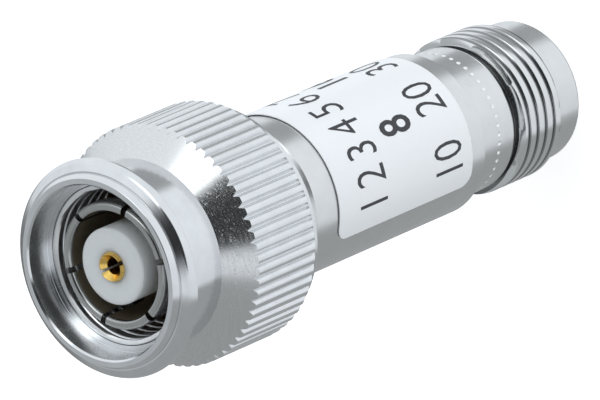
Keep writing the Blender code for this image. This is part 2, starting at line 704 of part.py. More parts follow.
def make_jack_insulator(parts, plastic):
    """The jack's insulator: a barrel with a counterbored hole for the centre pin's shoulder."""
    z_end = Z_JACK_END - LINE_BORE_LENGTH - SEAT_GAP
    r_shoulder = PIN_SHOULDER_DIAMETER / 2 + FIT_GAP
    r_core = R_CORE + FIT_GAP
    z_shoulder = Z_JACK_INSULATOR + PIN_SHOULDER_LENGTH
    profile = [
        (R_INSULATOR, z_end),
        (R_INSULATOR, Z_JACK_INSULATOR),
        (r_shoulder, Z_JACK_INSULATOR),
        (r_shoulder, z_shoulder),
        (r_core, z_shoulder),
        (r_core, z_end),
    ]
    return turned("jack_insulator", profile, parts, plastic, steps=SMALL_STEPS)


def make_centre_pin(parts, cutters, gold):
    """The jack's centre pin: a round nose, a shoulder in the insulator and a fork on the card."""
    z_top = Z_CARD + FORK_REACH
    z_shoulder_top = Z_JACK_INSULATOR + PIN_SHOULDER_LENGTH - SEAT_GAP
    r_shoulder = PIN_SHOULDER_DIAMETER / 2
    profile = [
        (0.0, z_top),
        (R_CORE, z_top),
        (R_CORE, z_shoulder_top),
        (r_shoulder, z_shoulder_top),
        (r_shoulder, Z_JACK_INSULATOR),
        (R_PIN, Z_JACK_INSULATOR),
    ]
    z_nose = PIN_RECESS + R_PIN
    profile += bezel(R_PIN, z_nose, 0.0, PIN_RECESS, NOSE_STEPS, bulge_out=False)
    pin = turned("jack_centre_pin", profile, parts, gold, steps=SMALL_STEPS, closed=False)
    low = (-2 * R_CORE, -FORK_SLOT / 2, Z_CARD - SEAT_GAP)
    high = (2 * R_CORE, FORK_SLOT / 2, z_top + FORK_REACH)
    cut(pin, cutter_box("jack_fork_cutter", low, high, cutters))
    return pin


def make_shield_half(name, side, parts, cutters, metal):
    """One half of the round shield: a half cylinder with a channel and a recess for the card."""
    shape = bmesh.new()
    bmesh.ops.create_cone(
        shape,
        cap_ends=True,
        segments=BODY_STEPS,
        radius1=R_SHANK,
        radius2=R_SHANK,
        depth=Z_SHIELD_TOP - Z_SHIELD,
    )
    middle = (Z_SHIELD_TOP + Z_SHIELD) / 2
    bmesh.ops.translate(shape, verts=shape.verts, vec=(0, 0, middle))
    mesh = bpy.data.meshes.new(name)
    shape.to_mesh(mesh)
    shape.free()
    half = mesh_object(name, mesh, parts, metal)
    far = 2 * R_SHANK
    over = CARD_END_MARGIN

    def side_box(label, half_width, y_from, y_to, z_from, z_to):
        """Makes a cutter on this half's side of the joint."""
        low_y, high_y = sorted((side * y_from, side * y_to))
        low = (-half_width, low_y, z_from)
        high = (half_width, high_y, z_to)
        return cutter_box(f"{name}_{label}", low, high, cutters)

    cut(half, side_box("joint", far, -far, SEAT_GAP / 2, Z_SHIELD - over, Z_SHIELD_TOP + over))
    channel = CARD_HALF_WIDTH - CARD_EDGE_HOLD
    cut(half, side_box("channel", channel, -over, CHANNEL_HEIGHT / 2, Z_SHIELD - over, Z_SHIELD_TOP + over))
    recess = CARD_HALF_WIDTH + SEAT_GAP
    depth = CARD_THICKNESS / 2 + FILM_GAP + FILM_THICKNESS + SEAT_GAP
    cut(half, side_box("recess", recess, -over, depth, Z_CARD - SEAT_GAP, Z_CARD_TOP + SEAT_GAP))
    return half


def make_card(parts, ceramic):
    """The ceramic card that carries the resistor network."""
    low = (-CARD_HALF_WIDTH, -CARD_THICKNESS / 2, Z_CARD)
    high = (CARD_HALF_WIDTH, CARD_THICKNESS / 2, Z_CARD_TOP)
    return box("attenuator_card", low, high, parts, ceramic)


def make_films(parts, silver, resistor):
    """The printed network on the card's -Y face: pads, tracks and resistors in a T."""
    y_high = -CARD_THICKNESS / 2 - FILM_GAP
    y_low = y_high - FILM_THICKNESS
    half_track = TRACK_WIDTH / 2
    z_middle = (Z_CARD + Z_CARD_TOP) / 2
    half_node = NODE_LENGTH / 2
    x_ground = CARD_HALF_WIDTH - GROUND_WIDTH
    z_pad_low = Z_CARD + PAD_LENGTH
    z_pad_high = Z_CARD_TOP - PAD_LENGTH

    def film(name, x_low, x_high, z_low, z_high, material):
        """Prints one rectangle."""
        box(name, (x_low, y_low, z_low), (x_high, y_high, z_high), parts, material)

    film("input_electrode", -half_track, half_track, z_pad_high, Z_CARD_TOP, silver)
    film("output_electrode", -half_track, half_track, Z_CARD, z_pad_low, silver)
    film("centre_electrode", -half_track, half_track, z_middle - half_node, z_middle + half_node, silver)
    z_low, z_high = z_middle + half_node + FILM_SPACE, z_pad_high - FILM_SPACE
    film("series_resistor_in", -half_track, half_track, z_low, z_high, resistor)
    z_low, z_high = z_pad_low + FILM_SPACE, z_middle - half_node - FILM_SPACE
    film("series_resistor_out", -half_track, half_track, z_low, z_high, resistor)
    x_near, x_far = half_track + FILM_SPACE, x_ground - FILM_SPACE
    z_low, z_high = z_middle - half_node, z_middle + half_node
    film("shunt_resistor_right", x_near, x_far, z_low, z_high, resistor)
    film("shunt_resistor_left", -x_far, -x_near, z_low, z_high, resistor)
    film("ground_electrode_right", x_ground, CARD_HALF_WIDTH, Z_CARD, Z_CARD_TOP, silver)
    film("ground_electrode_left", -CARD_HALF_WIDTH, -x_ground, Z_CARD, Z_CARD_TOP, silver)


def smooth_round_pieces(parts):
    """Shades the round pieces smooth, and keeps their real edges sharp."""
    for obj in parts.objects:
        obj.data.shade_smooth()
        obj.data.set_sharp_from_angle(angle=math.radians(35))


def main():
    """Builds every piece of the attenuator."""
    clear_scene()
    parts = new_collection("coaxial_attenuator")
    cutters = new_collection("cutters")
    nut_metal = finish("nut_plating", (0.72, 0.74, 0.75), 0.22, 1.0)
    body_metal = finish("body_plating", (0.66, 0.67, 0.67), 0.36, 1.0)
    contact_metal = finish("contact_plating", (0.70, 0.70, 0.69), 0.20, 1.0)
    spring_metal = finish("spring_bronze", (0.62, 0.44, 0.24), 0.35, 1.0)
    gold = finish("gold_plating", (0.86, 0.62, 0.20), 0.22, 1.0)
    plastic = finish("white_insulator", (0.86, 0.88, 0.92), 0.45, 0.0)
    rubber = finish("seal_rubber", (0.42, 0.10, 0.06), 0.70, 0.0)
    film = finish("label_film", (0.88, 0.90, 0.92), 0.40, 0.0)
    ceramic = finish("card_ceramic", (0.86, 0.85, 0.80), 0.60, 0.0)
    silver = finish("film_silver", (0.80, 0.80, 0.78), 0.35, 1.0)
    resistor = finish("film_resistor", (0.05, 0.05, 0.05), 0.60, 0.0)

    make_jack_body(parts, body_metal)
    make_jack_insulator(parts, plastic)
    make_centre_pin(parts, cutters, gold)
    make_housing_sleeve(parts, body_metal)
    make_rating_label(parts, film)
    make_seal_ring("rear_seal_ring", Z_SLEEVE + SEAL_SETBACK, parts, rubber)
    make_seal_ring("front_seal_ring", Z_SLEEVE_TOP - SEAL_SETBACK, parts, rubber)
    make_shield_half("front_shield_half", -1, parts, cutters, contact_metal)
    make_shield_half("back_shield_half", 1, parts, cutters, contact_metal)
    make_card(parts, ceramic)
    make_films(parts, silver, resistor)
    make_plug_body(parts, body_metal)
    make_outer_contact(parts, cutters, contact_metal)
    make_plug_insulator(parts, plastic)
    make_centre_socket(parts, cutters, gold)
    make_gasket(parts, rubber)
    make_retaining_ring(parts, cutters, spring_metal)
    make_coupling_nut(parts, cutters, nut_metal)
    smooth_round_pieces(parts)


main()
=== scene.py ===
"""Looks of an in-line coaxial attenuator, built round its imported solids.

The part stands on the end face of its jack, with the mouth of its coupling nut at the top of +Z.
The visible turned pieces are made again here as fine meshes with their threads, knurl, dimples and
print, and the pieces that stay inside keep their solids and get finished materials.
"""

import logging
import math
from dataclasses import dataclass, field
from enum import Enum

import bmesh
import bpy
from mathutils import Matrix, Vector


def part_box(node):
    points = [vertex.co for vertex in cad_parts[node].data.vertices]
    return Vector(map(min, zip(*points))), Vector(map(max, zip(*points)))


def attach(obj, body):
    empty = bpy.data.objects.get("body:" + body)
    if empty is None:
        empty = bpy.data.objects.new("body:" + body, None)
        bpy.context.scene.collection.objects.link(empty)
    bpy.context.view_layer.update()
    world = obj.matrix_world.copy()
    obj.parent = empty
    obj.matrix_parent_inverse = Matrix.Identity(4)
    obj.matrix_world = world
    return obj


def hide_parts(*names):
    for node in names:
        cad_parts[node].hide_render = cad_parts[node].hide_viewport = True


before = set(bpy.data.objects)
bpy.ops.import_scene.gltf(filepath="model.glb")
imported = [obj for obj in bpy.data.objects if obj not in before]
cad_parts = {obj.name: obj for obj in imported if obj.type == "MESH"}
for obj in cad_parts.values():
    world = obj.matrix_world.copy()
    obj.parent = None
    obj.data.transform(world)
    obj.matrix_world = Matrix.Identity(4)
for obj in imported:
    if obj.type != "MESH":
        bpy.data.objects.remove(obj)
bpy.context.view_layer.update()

LOG = logging.getLogger("coaxial_attenuator")
MM = 0.001
HOUSING = "housing"
NUT = "nut"

# Meshing
SEGMENTS = 192
LEAST_STEPS = 6
MERGE_DISTANCE = 0.0004 * MM
SHORTEST_EDGE = 0.0002 * MM
SMOOTH_DEGREES = 32.0

# Seams and clearances between pieces
SEAM = 0.02 * MM
PLAY = 0.12 * MM
THREAD_WALL = 0.06 * MM
THREAD_OVERLAP = 0.03 * MM

# Sockets of nodes that have several of one name
MIX_FIRST, MIX_SECOND, MIX_RESULT = 6, 7, 2
COMPARE_FIRST, COMPARE_SECOND = 2, 3
RANGE_ENDS = ("From Min", "From Max", "To Min", "To Max")
FINISH_SOCKETS = ("First Finish", "Second Finish", "Third Finish")

Point = tuple[float, float]
Colour = tuple[float, float, float]
Direction = tuple[float, float, float]
Socket = bpy.types.NodeSocket
Piece = bpy.types.Object
Material = bpy.types.Material


class Edge(float, Enum):
    """The roundings of the turned edges, from the sharpest to the softest."""

    HAIR = 0.02 * MM
    CRISP = 0.03 * MM
    FINE = 0.04 * MM
    PLAIN = 0.05 * MM
    EASED = 0.06 * MM
    SOFT = 0.08 * MM
    ROUND = 0.10 * MM
    FULL = 0.12 * MM
    LARGE = 0.15 * MM
    FINGER = 0.3 * MM


# Nodes


def add_node(
    tree: bpy.types.NodeTree,
    kind: str,
    inputs: dict[int | str, Socket | float | str | tuple[float, ...]],
    output: int | str = 0,
    **options: str,
) -> Socket:
    """Adds a node to a tree.

    Args:
        tree: The tree.
        kind: The node's type.
        inputs: What its sockets get, by name or number: another node's output or a constant.
        output: The name or number of the output to hand back.
        options: The node's own settings.

    Returns:
        The output.
    """
    node = tree.nodes.new(kind)
    for option, choice in options.items():
        setattr(node, option, choice)
    for socket, value in inputs.items():
        if isinstance(value, Socket):
            tree.links.new(value, node.inputs[socket])
        else:
            node.inputs[socket].default_value = value
    return node.outputs[output]


def opaque(colour: Socket | Colour) -> Socket | tuple[float, ...]:
    """Gives a constant colour its alpha. An output stays as it is."""
    return (*colour, 1.0) if isinstance(colour, tuple) else colour


def mix_colours(
    tree: bpy.types.NodeTree, share: Socket, first: Socket | Colour, second: Socket | Colour
) -> Socket:
    """Mixes two colours, each an output or a constant, by the second one's share."""
    inputs = {"Factor": share, MIX_FIRST: opaque(first), MIX_SECOND: opaque(second)}
    return add_node(tree, "ShaderNodeMix", inputs, MIX_RESULT, data_type="RGBA")


def map_range(
    tree: bpy.types.NodeTree, value: Socket, given: Point, wanted: Point, course: str = "LINEAR"
) -> Socket:
    """Maps a value from the range that it is in to the one that it gets."""
    inputs = {"Value": value, **dict(zip(RANGE_ENDS, (*given, *wanted)))}
    return add_node(tree, "ShaderNodeMapRange", inputs, "Result", interpolation_type=course)


class MaterialNodes:
    """A material's node tree while it is being made. Every pattern reads Object coordinates."""

    noise_range: Point = (0.3, 0.7)

    def __init__(self, name: str) -> None:
        """Starts a material with its shader.

        Args:
            name: The material's name.
        """
        self.material = bpy.data.materials.new(name)
        self.material.use_nodes = True
        self.tree = self.material.node_tree
        self.shader = self.tree.nodes["Principled BSDF"]
        self.place = self.tree.nodes.new("ShaderNodeTexCoord").outputs["Object"]

    def fix(self, **values: float | tuple[float, ...]) -> None:
        """Sets constants on the shader's own sockets. An underscore stands for a space."""
        for socket, value in values.items():
            self.shader.inputs[socket.replace("_", " ")].default_value = value

    def link(self, output: Socket, socket: str) -> None:
        """Joins an output to one of the shader's sockets."""
        self.tree.links.new(output, self.shader.inputs[socket])

    def vector(self, operation: str, first: Socket, second: Socket | Direction) -> Socket:
        """Works out a vector from two others."""
        pair = {0: first, 1: second}
        return add_node(self.tree, "ShaderNodeVectorMath", pair, operation=operation)

    def length(self, vector: Socket) -> Socket:
        """Works out a vector's length."""
        given = {0: vector}
        return add_node(self.tree, "ShaderNodeVectorMath", given, "Value", operation="LENGTH")

    def value(self, operation: str, first: Socket, second: Socket) -> Socket:
        """Works out a value from two others."""
        return add_node(self.tree, "ShaderNodeMath", {0: first, 1: second}, operation=operation)

    def noise(self, place: Socket, scale: float, detail: float) -> Socket:
        """Returns a noise from 0 to 1."""
        inputs = {"Vector": place, "Scale": scale, "Detail": detail}
        return add_node(self.tree, "ShaderNodeTexNoise", inputs, "Fac")

    def spread(self, value: Socket, low: float, high: float) -> Socket:
        """Maps a noise's usual range to low and high."""
        return map_range(self.tree, value, self.noise_range, (low, high))

    def axis_distance(self) -> Socket:
        """Makes a place of the distance from the part's axis and the height.

        Returns:
            The place.
        """
        distance = self.length(self.vector("MULTIPLY", self.place, (1, 1, 0)))
        height = add_node(self.tree, "ShaderNodeSeparateXYZ", {0: self.place}, "Z")
        return add_node(self.tree, "ShaderNodeCombineXYZ", {"X": distance, "Y": height})

    def stretched_round_axis(self, share: float) -> Socket:
        """Returns the axis distance and height with a slow third part that follows the turn."""
        slow = self.vector("MULTIPLY", self.place, (share, share, 0))
        return self.vector("ADD", self.axis_distance(), slow)

    def surface(self, grain: Socket, colour: Colour, shade: float, rough: Socket) -> None:
        """Links the shader's colour and roughness.

        Args:
            grain: The noise that shades the colour.
            colour: The lightest colour.
            shade: The share by which the darkest one is darker.
            rough: The roughness.
        """
        darker = tuple(part * (1 - shade) for part in colour)
        tones = mix_colours(self.tree, self.spread(grain, 0.0, 1.0), colour, darker)
        self.link(tones, "Base Color")
        self.link(rough, "Roughness")

    def bump(self, height: Socket, strength: float, distance: float) -> None:
        """Gives the shader a bump, with its strength and the full height of its relief."""
        inputs = {"Height": height, "Strength": strength, "Distance": distance}
        self.link(add_node(self.tree, "ShaderNodeBump", inputs, "Normal"), "Normal")


@dataclass(frozen=True)
class TurnedMetal:
    """A plated metal with the fine rings that a lathe leaves.

    The rings follow the distance from the part's axis and the height, so they run round every
    cylinder, cone and flat face alike.
    """

    colour: Colour
    roughness: float
    roughness_spread: float = 0.06
    ring_scale: float = 9000.0
    ring_depth: float = 0.25
    ring_height: float = 0.002 * MM
    grain_scale: float = 900.0
    shade: float = 0.06

    def build(self, name: str) -> Material:
        """Makes the material.

        Args:
            name: The material's name.

        Returns:
            The new material.
        """
        nodes = MaterialNodes(name)
        rings = nodes.noise(nodes.axis_distance(), self.ring_scale, detail=2.0)
        grain = nodes.noise(nodes.place, self.grain_scale, detail=3.0)
        low, high = self.roughness - self.roughness_spread, self.roughness + self.roughness_spread
        nodes.surface(grain, self.colour, self.shade, nodes.spread(grain, low, high))
        nodes.fix(Metallic=1.0)
        nodes.bump(rings, self.ring_depth, self.ring_height)
        return nodes.material


@dataclass(frozen=True)
class BrushedMetal:
    """A metal with short scratches that run round the axis, and small dull specks."""

    colour: Colour
    roughness: float
    smoother: float = 0.05
    rougher: float = 0.09
    scratch_scale: float = 9000.0
    scratch_length: float = 0.35
    scratch_depth: float = 0.45
    scratch_height: float = 0.004 * MM
    speckle_scale: float = 7000.0
    speckle: float = 0.42
    speckle_rarity: float = 1.5
    shade: float = 0.10

    def build(self, name: str) -> Material:
        """Makes the material.

        Args:
            name: The material's name.

        Returns:
            The new material.
        """
        nodes = MaterialNodes(name)
        way = nodes.stretched_round_axis(self.scratch_length)
        scratches = nodes.noise(way, self.scratch_scale, detail=4.0)
        rings = nodes.noise(nodes.axis_distance(), self.scratch_scale, detail=2.0)
        low, high = self.roughness - self.smoother, self.roughness + self.rougher
        rough = nodes.spread(scratches, low, high)
        grain = nodes.noise(nodes.place, self.speckle_scale, detail=2.0)
        specks = nodes.spread(grain, -self.speckle_rarity * self.speckle, self.speckle)
        rough = nodes.value("MAXIMUM", rough, specks)
        nodes.surface(scratches, self.colour, self.shade, rough)
        nodes.fix(Metallic=1.0)
        relief = nodes.value("MULTIPLY", scratches, rings)
        nodes.bump(relief, self.scratch_depth, self.scratch_height)
        return nodes.material


@dataclass(frozen=True)
class PlainSurface:
    """A surface that isn't metal: moulded, printed, fired or rubbery.

    The flesh is the share of the light that goes a little way into it.
    """

    colour: Colour
    roughness: float
    roughness_spread: float = 0.04
    shade: float = 0.05
    grain_scale: float = 2500.0
    grain_depth: float = 0.2
    grain_height: float = 0.003 * MM
    flesh: float = 0.0
    flesh_scale: float = 1.2 * MM
    flesh_colours: Colour = (1.0, 1.0, 1.0)
    coat: float = 0.0
    coat_roughness: float = 0.2

    def build(self, name: str) -> Material:
        """Makes the material.

        Args:
            name: The material's name.

        Returns:
            The new material.
        """
        nodes = MaterialNodes(name)
        grain = nodes.noise(nodes.place, self.grain_scale, detail=3.0)
        low, high = self.roughness - self.roughness_spread, self.roughness + self.roughness_spread
        nodes.surface(grain, self.colour, self.shade, nodes.spread(grain, low, high))
        nodes.fix(Metallic=0.0, Coat_Weight=self.coat, Coat_Roughness=self.coat_roughness)
        nodes.fix(Subsurface_Weight=self.flesh, Subsurface_Scale=self.flesh_scale)
        nodes.fix(Subsurface_Radius=self.flesh_colours)
        nodes.bump(grain, self.grain_depth, self.grain_height)
        return nodes.material


class Finish(Enum):
    """The finishes of the attenuator's pieces: each one's name, and its recipe."""

    NUT = "bright_nut_plating", TurnedMetal((0.74, 0.75, 0.76), 0.14, roughness_spread=0.03)
    CONE = "brushed_cone", BrushedMetal((0.74, 0.745, 0.75), 0.17)
    KNURL = "satin_knurl", TurnedMetal((0.78, 0.79, 0.80), 0.26, roughness_spread=0.03)
    BODY = "satin_body_plating", TurnedMetal((0.72, 0.725, 0.725), 0.24, 0.04, shade=0.03)
    THREAD = "bright_thread_plating", TurnedMetal((0.74, 0.745, 0.745), 0.13, 0.03, shade=0.03)
    # Painted highlight: a paler copy of the plating for the jack's dimples and the nut thread's
    # ridges, where they catch the light.
    SATIN_HIGHLIGHT = "satin_plating_painted_highlight", TurnedMetal((0.95, 0.955, 0.96), 0.45)
    # Painted shade: a dark copy of the plating for the jack thread's grooves, where shade falls.
    GROOVE_SHADE = "painted_shade_thread_groove", TurnedMetal((0.32, 0.325, 0.33), 0.20)
    # Painted shade: a near-black copy of the plating for the jack's neck and the thread's high end,
    # where shade falls.
    NECK_SHADE = "painted_shade_thread_neck", TurnedMetal((0.22, 0.222, 0.225), 0.28)
    JOURNAL = "bare_brass_journal", TurnedMetal((0.50, 0.46, 0.34), 0.34)
    CONTACT = "bright_contact_plating", TurnedMetal((0.44, 0.44, 0.43), 0.20)
    # Painted shade: a dark brown tone for the contact's bore and ring deep in the mouth, where
    # shade falls.
    SHADED_BORE = "painted_shade_contact_bore", TurnedMetal((0.32, 0.265, 0.19), 0.50)
    GOLD = "gold_plating", TurnedMetal((0.86, 0.58, 0.16), 0.22)
    BRONZE = "spring_bronze", TurnedMetal((0.62, 0.44, 0.24), 0.34)
    INSULATOR = "white_insulator", PlainSurface((0.87, 0.91, 0.955), 0.42, shade=0.02, flesh=1.0)
    RUBBER = "seal_rubber", PlainSurface((0.16, 0.07, 0.04), 0.65, shade=0.2)
    LABEL = "label_film", PlainSurface((0.96, 0.965, 0.975), 0.36, shade=0.01, coat=0.1)
    INK = "label_ink", PlainSurface((0.045, 0.045, 0.05), 0.50, shade=0.2)
    CERAMIC = "card_ceramic", PlainSurface((0.84, 0.83, 0.78), 0.60)
    SILVER = "film_silver", TurnedMetal((0.80, 0.80, 0.78), 0.38)
    RESISTOR = "film_resistor", PlainSurface((0.05, 0.05, 0.05), 0.60)


# The solids that stay inside, or show only their flat faces, by a part of their names
KEPT_SOLIDS: dict[str, Finish] = {
    "retaining_ring": Finish.BRONZE,
    "seal_ring": Finish.RUBBER,
    "shield_half": Finish.CONTACT,
    "attenuator_card": Finish.CERAMIC,
    "electrode": Finish.SILVER,
    "resistor": Finish.RESISTOR,
    "jack_insulator": Finish.INSULATOR,
    "jack_centre_pin": Finish.GOLD,
}


class Palette:
    """Makes each finish's material once."""

    def __init__(self) -> None:
        """Starts with no material made."""
        self.made: dict[Finish, Material] = {}

    def __getitem__(self, finish: Finish) -> Material:
        """Returns a finish's material, and makes it on first use.

        Args:
            finish: The finish.

        Returns:
            The material.
        """
        if finish not in self.made:
            name, recipe = finish.value
            self.made[finish] = recipe.build(name)
        return self.made[finish]

    def pick(self, *finishes: Finish) -> list[Material]:
        """Returns the materials of several finishes."""
        return [self[finish] for finish in finishes]

    def dress_kept_solids(self) -> list[str]:
        """Gives each kept solid its finish.

        Returns:
            The names of the solids.
        """
        dressed = []
        for part, finish in KEPT_SOLIDS.items():
            for node in (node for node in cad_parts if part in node):
                for material_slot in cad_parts[node].material_slots:
                    material_slot.material = self[finish]
                dressed.append(node)
        return dressed


# Profiles and swept meshes


@dataclass(frozen=True)
class Corner:
    """A corner of a turned profile: its distance from the axis, its height and its rounding."""

    radius: float
    height: float
    fillet: float = 0.0


@dataclass(frozen=True)
class Rounding:
    """How a profile's corners are rounded."""

    side_share: float = 0.9
    margin: float = 0.08
    fine_steps: int = 3
    large_steps: int = 6

    def apply(self, corners: list[Corner], closed: bool = True) -> list[Point]:
        """Rounds the corners of a profile. Two corners share a short stretch as their fillets ask.

        Args:
            corners: The profile's corners, in order.
            closed: Whether the profile is a loop.

        Returns:
            The profile's points. Each rounding has a point just outside both of its ends, which
            keeps the shading of the straight stretches even.
        """
        points: list[Vector] = []
        for i, corner in enumerate(corners):
            here = Vector((corner.radius, corner.height))
            if corner.fillet == 0 or (not closed and i in (0, len(corners) - 1)):
                points.append(here)
                continue
            before, after = corners[i - 1], corners[(i + 1) % len(corners)]
            to_before = Vector((before.radius, before.height)) - here
            to_after = Vector((after.radius, after.height)) - here
            reach = corner.fillet * math.tan((math.pi - to_before.angle(to_after)) / 2)
            for side, neighbour in ((to_before, before), (to_after, after)):
                both = corner.fillet + neighbour.fillet
                reach = min(reach, self.side_share * side.length * corner.fillet / both)
            steps = self.fine_steps if corner.fillet < Edge.LARGE else self.large_steps
            start = here + to_before.normalized() * reach
            end = here + to_after.normalized() * reach
            spare = self.margin * reach
            points.append(start + to_before.normalized() * spare)
            for part in (step / steps for step in range(steps + 1)):
                rest = 1 - part
                points.append(rest**2 * start + 2 * part * rest * here + part**2 * end)
            points.append(end + to_after.normalized() * spare)
        return [(point.x, point.y) for point in points]


def square_section(
    inner: float, outer: float, top: float, bottom: float, fillet: float
) -> list[Corner]:
    """Returns the section of a plain ring, with all four corners rounded alike."""
    places = ((inner, top), (outer, top), (outer, bottom), (inner, bottom))
    return [Corner(radius, height, fillet) for radius, height in places]


def extent(node: str) -> tuple[float, float, float]:
    """Returns a solid's outer radius, its lower end and its upper end."""
    low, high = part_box(node)
    return high[1], low[2], high[2]


def add_object(name: str, data: bpy.types.ID, *materials: Material) -> Piece:
    """Adds an object to the scene at the origin.

    Args:
        name: The object's name.
        data: Its mesh, curve or camera.
        materials: Its finishes.

    Returns:
        The new object.
    """
    for material in materials:
        data.materials.append(material)
    piece = bpy.data.objects.new(name, data)
    bpy.context.scene.collection.objects.link(piece)
    return piece


def sweep(
    name: str,
    columns: list[tuple[float, list[Point]]],
    full_turn: bool,
    closed: bool = True,
    capped: bool = False,
    finishes: dict[int, range | tuple[int, ...]] | None = None,
) -> bpy.types.Mesh:
    """Joins profiles that stand round the axis into one skin.

    Args:
        name: The mesh's name.
        columns: Each profile's turn about the axis in radians, and its points, as many in each.
        full_turn: Whether the last profile joins the first.
        closed: Whether each profile is a loop.
        capped: Whether the first and last profile are filled.
        finishes: The stretches of the profile whose faces get the second or third finish.

    Returns:
        The mesh, with a face attribute named finish.
    """
    mesh = bpy.data.meshes.new(name)
    count = len(columns[0][1])
    vertices = []
    for turn, points in columns:
        cosine, sine = math.cos(turn), math.sin(turn)
        vertices += [(radius * cosine, radius * sine, height) for radius, height in points]
    faces = []
    flags = []
    for i in range(len(columns) if full_turn else len(columns) - 1):
        here, there = i * count, (i + 1) % len(columns) * count
        for k in range(count if closed else count - 1):
            after = (k + 1) % count
            faces.append((here + k, here + after, there + after, there + k))
            marks = (finish for finish, stretch in (finishes or {}).items() if k in stretch)
            flags.append(next(marks, 1))
    if capped:
        faces.append(tuple(range(count)))
        faces.append(tuple((len(columns) - 1) * count + k for k in reversed(range(count))))
        flags += [1, 1]
    mesh.from_pydata(vertices, [], faces)
    mesh.attributes.new("finish", "INT", "FACE").data.foreach_set("value", flags)
    return mesh


def clean(mesh: bpy.types.Mesh, smooth_degrees: float = SMOOTH_DEGREES) -> None:
    """Merges doubled points, turns the faces outwards and shades the mesh smooth between edges.

    Args:
        mesh: The mesh.
        smooth_degrees: The turn between two faces above which their edge is sharp.
    """
    shape = bmesh.new()
    shape.from_mesh(mesh)
    bmesh.ops.remove_doubles(shape, verts=shape.verts, dist=MERGE_DISTANCE)
    bmesh.ops.dissolve_degenerate(shape, edges=shape.edges, dist=SHORTEST_EDGE)
    bmesh.ops.recalc_face_normals(shape, faces=shape.faces)
    shape.to_mesh(mesh)
    shape.free()
    mesh.shade_smooth()
    mesh.set_sharp_from_angle(angle=math.radians(smooth_degrees))


def even_turns(count: int) -> list[float]:
    """Returns count turns that share a full circle."""
    return [math.tau * i / count for i in range(count)]


def lathe(name: str, corners: list[Corner], material: Material, segments: int = SEGMENTS) -> Piece:
    """Turns a closed profile about the axis.

    Args:
        name: The object's name.
        corners: The corners of the profile.
        material: The finish.
        segments: How many stretches the turn has.

    Returns:
        The new object.
    """
    points = Rounding().apply(corners)
    mesh = sweep(name, [(turn, points) for turn in even_turns(segments)], full_turn=True)
    clean(mesh)
    return add_object(name, mesh, material)


def stand_in(pieces: list[Piece], node: str, body: str) -> list[Piece]:
    """Puts pieces in the place of a solid.

    Args:
        pieces: The pieces.
        node: The solid's name.
        body: The body that they ride.

    Returns:
        The pieces.
    """
    for piece in pieces:
        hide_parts(node)
        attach(piece, body)
    return pieces


# Geometry Nodes


class RadialArray:
    """A Geometry Nodes tree that repeats a sector round the Z axis, with up to three finishes."""

    def __init__(self) -> None:
        """Builds the tree."""
        self.tree = tree = bpy.data.node_groups.new("radial_array", "GeometryNodeTree")
        kinds = {"Geometry": "Geometry", "Count": "Int", "Merge Distance": "Float"}
        kinds |= {finish: "Material" for finish in FINISH_SOCKETS}
        self.sockets: dict[str, str] = {}
        for name, kind in kinds.items():
            kind = f"NodeSocket{kind}"
            socket = tree.interface.new_socket(name, in_out="INPUT", socket_type=kind)
            self.sockets[name] = socket.identifier
        tree.interface.new_socket("Geometry", in_out="OUTPUT", socket_type="NodeSocketGeometry")
        given = tree.nodes.new("NodeGroupInput").outputs
        points = add_node(tree, "GeometryNodePoints", {"Count": given["Count"]})
        share = {0: math.tau, 1: given["Count"]}
        step = add_node(tree, "ShaderNodeMath", share, operation="DIVIDE")
        index = add_node(tree, "GeometryNodeInputIndex", {})
        turn = add_node(tree, "ShaderNodeMath", {0: index, 1: step}, operation="MULTIPLY")
        about_z = add_node(tree, "ShaderNodeCombineXYZ", {"Z": turn})
        rotation = add_node(tree, "FunctionNodeEulerToRotation", {0: about_z})
        copying = {"Points": points, "Instance": given["Geometry"], "Rotation": rotation}
        copies = add_node(tree, "GeometryNodeInstanceOnPoints", copying)
        real = add_node(tree, "GeometryNodeRealizeInstances", {0: copies})
        merging = {"Geometry": real, "Distance": given["Merge Distance"]}
        skin = add_node(tree, "GeometryNodeMergeByDistance", merging)
        named = {"Name": "finish"}
        kind = "GeometryNodeInputNamedAttribute"
        mark = add_node(tree, kind, named, "Attribute", data_type="INT")
        for number, finish in enumerate(FINISH_SOCKETS, start=1):
            pair = {COMPARE_FIRST: mark, COMPARE_SECOND: number}
            same = add_node(tree, "FunctionNodeCompare", pair, data_type="INT", operation="EQUAL")
            dressing = {"Geometry": skin, "Selection": same, "Material": given[finish]}
            skin = add_node(tree, "GeometryNodeSetMaterial", dressing)
        tree.links.new(skin, tree.nodes.new("NodeGroupOutput").inputs[0])

    def repeat(self, name: str, sector: bpy.types.Mesh, count: int, *materials: Material) -> Piece:
        """Repeats a sector.

        Args:
            name: The object's name.
            sector: The mesh of one sector.
            count: How many sectors fill the turn.
            materials: The finishes, up to three. The sector's faces say which one they get.

        Returns:
            The object, with a plain mesh and no modifier.
        """
        piece = add_object(name, sector)
        modifier = piece.modifiers.new("radial_array", "NODES")
        modifier.node_group = self.tree
        modifier[self.sockets["Count"]] = count
        modifier[self.sockets["Merge Distance"]] = MERGE_DISTANCE
        for i, finish in enumerate(FINISH_SOCKETS):
            modifier[self.sockets[finish]] = materials[min(i, len(materials) - 1)]
        depsgraph = bpy.context.evaluated_depsgraph_get()
        mesh = bpy.data.meshes.new_from_object(piece.evaluated_get(depsgraph), depsgraph=depsgraph)
        mesh.name = name
        piece.modifiers.clear()
        piece.data = mesh
        clean(mesh)
        return piece


# Threads


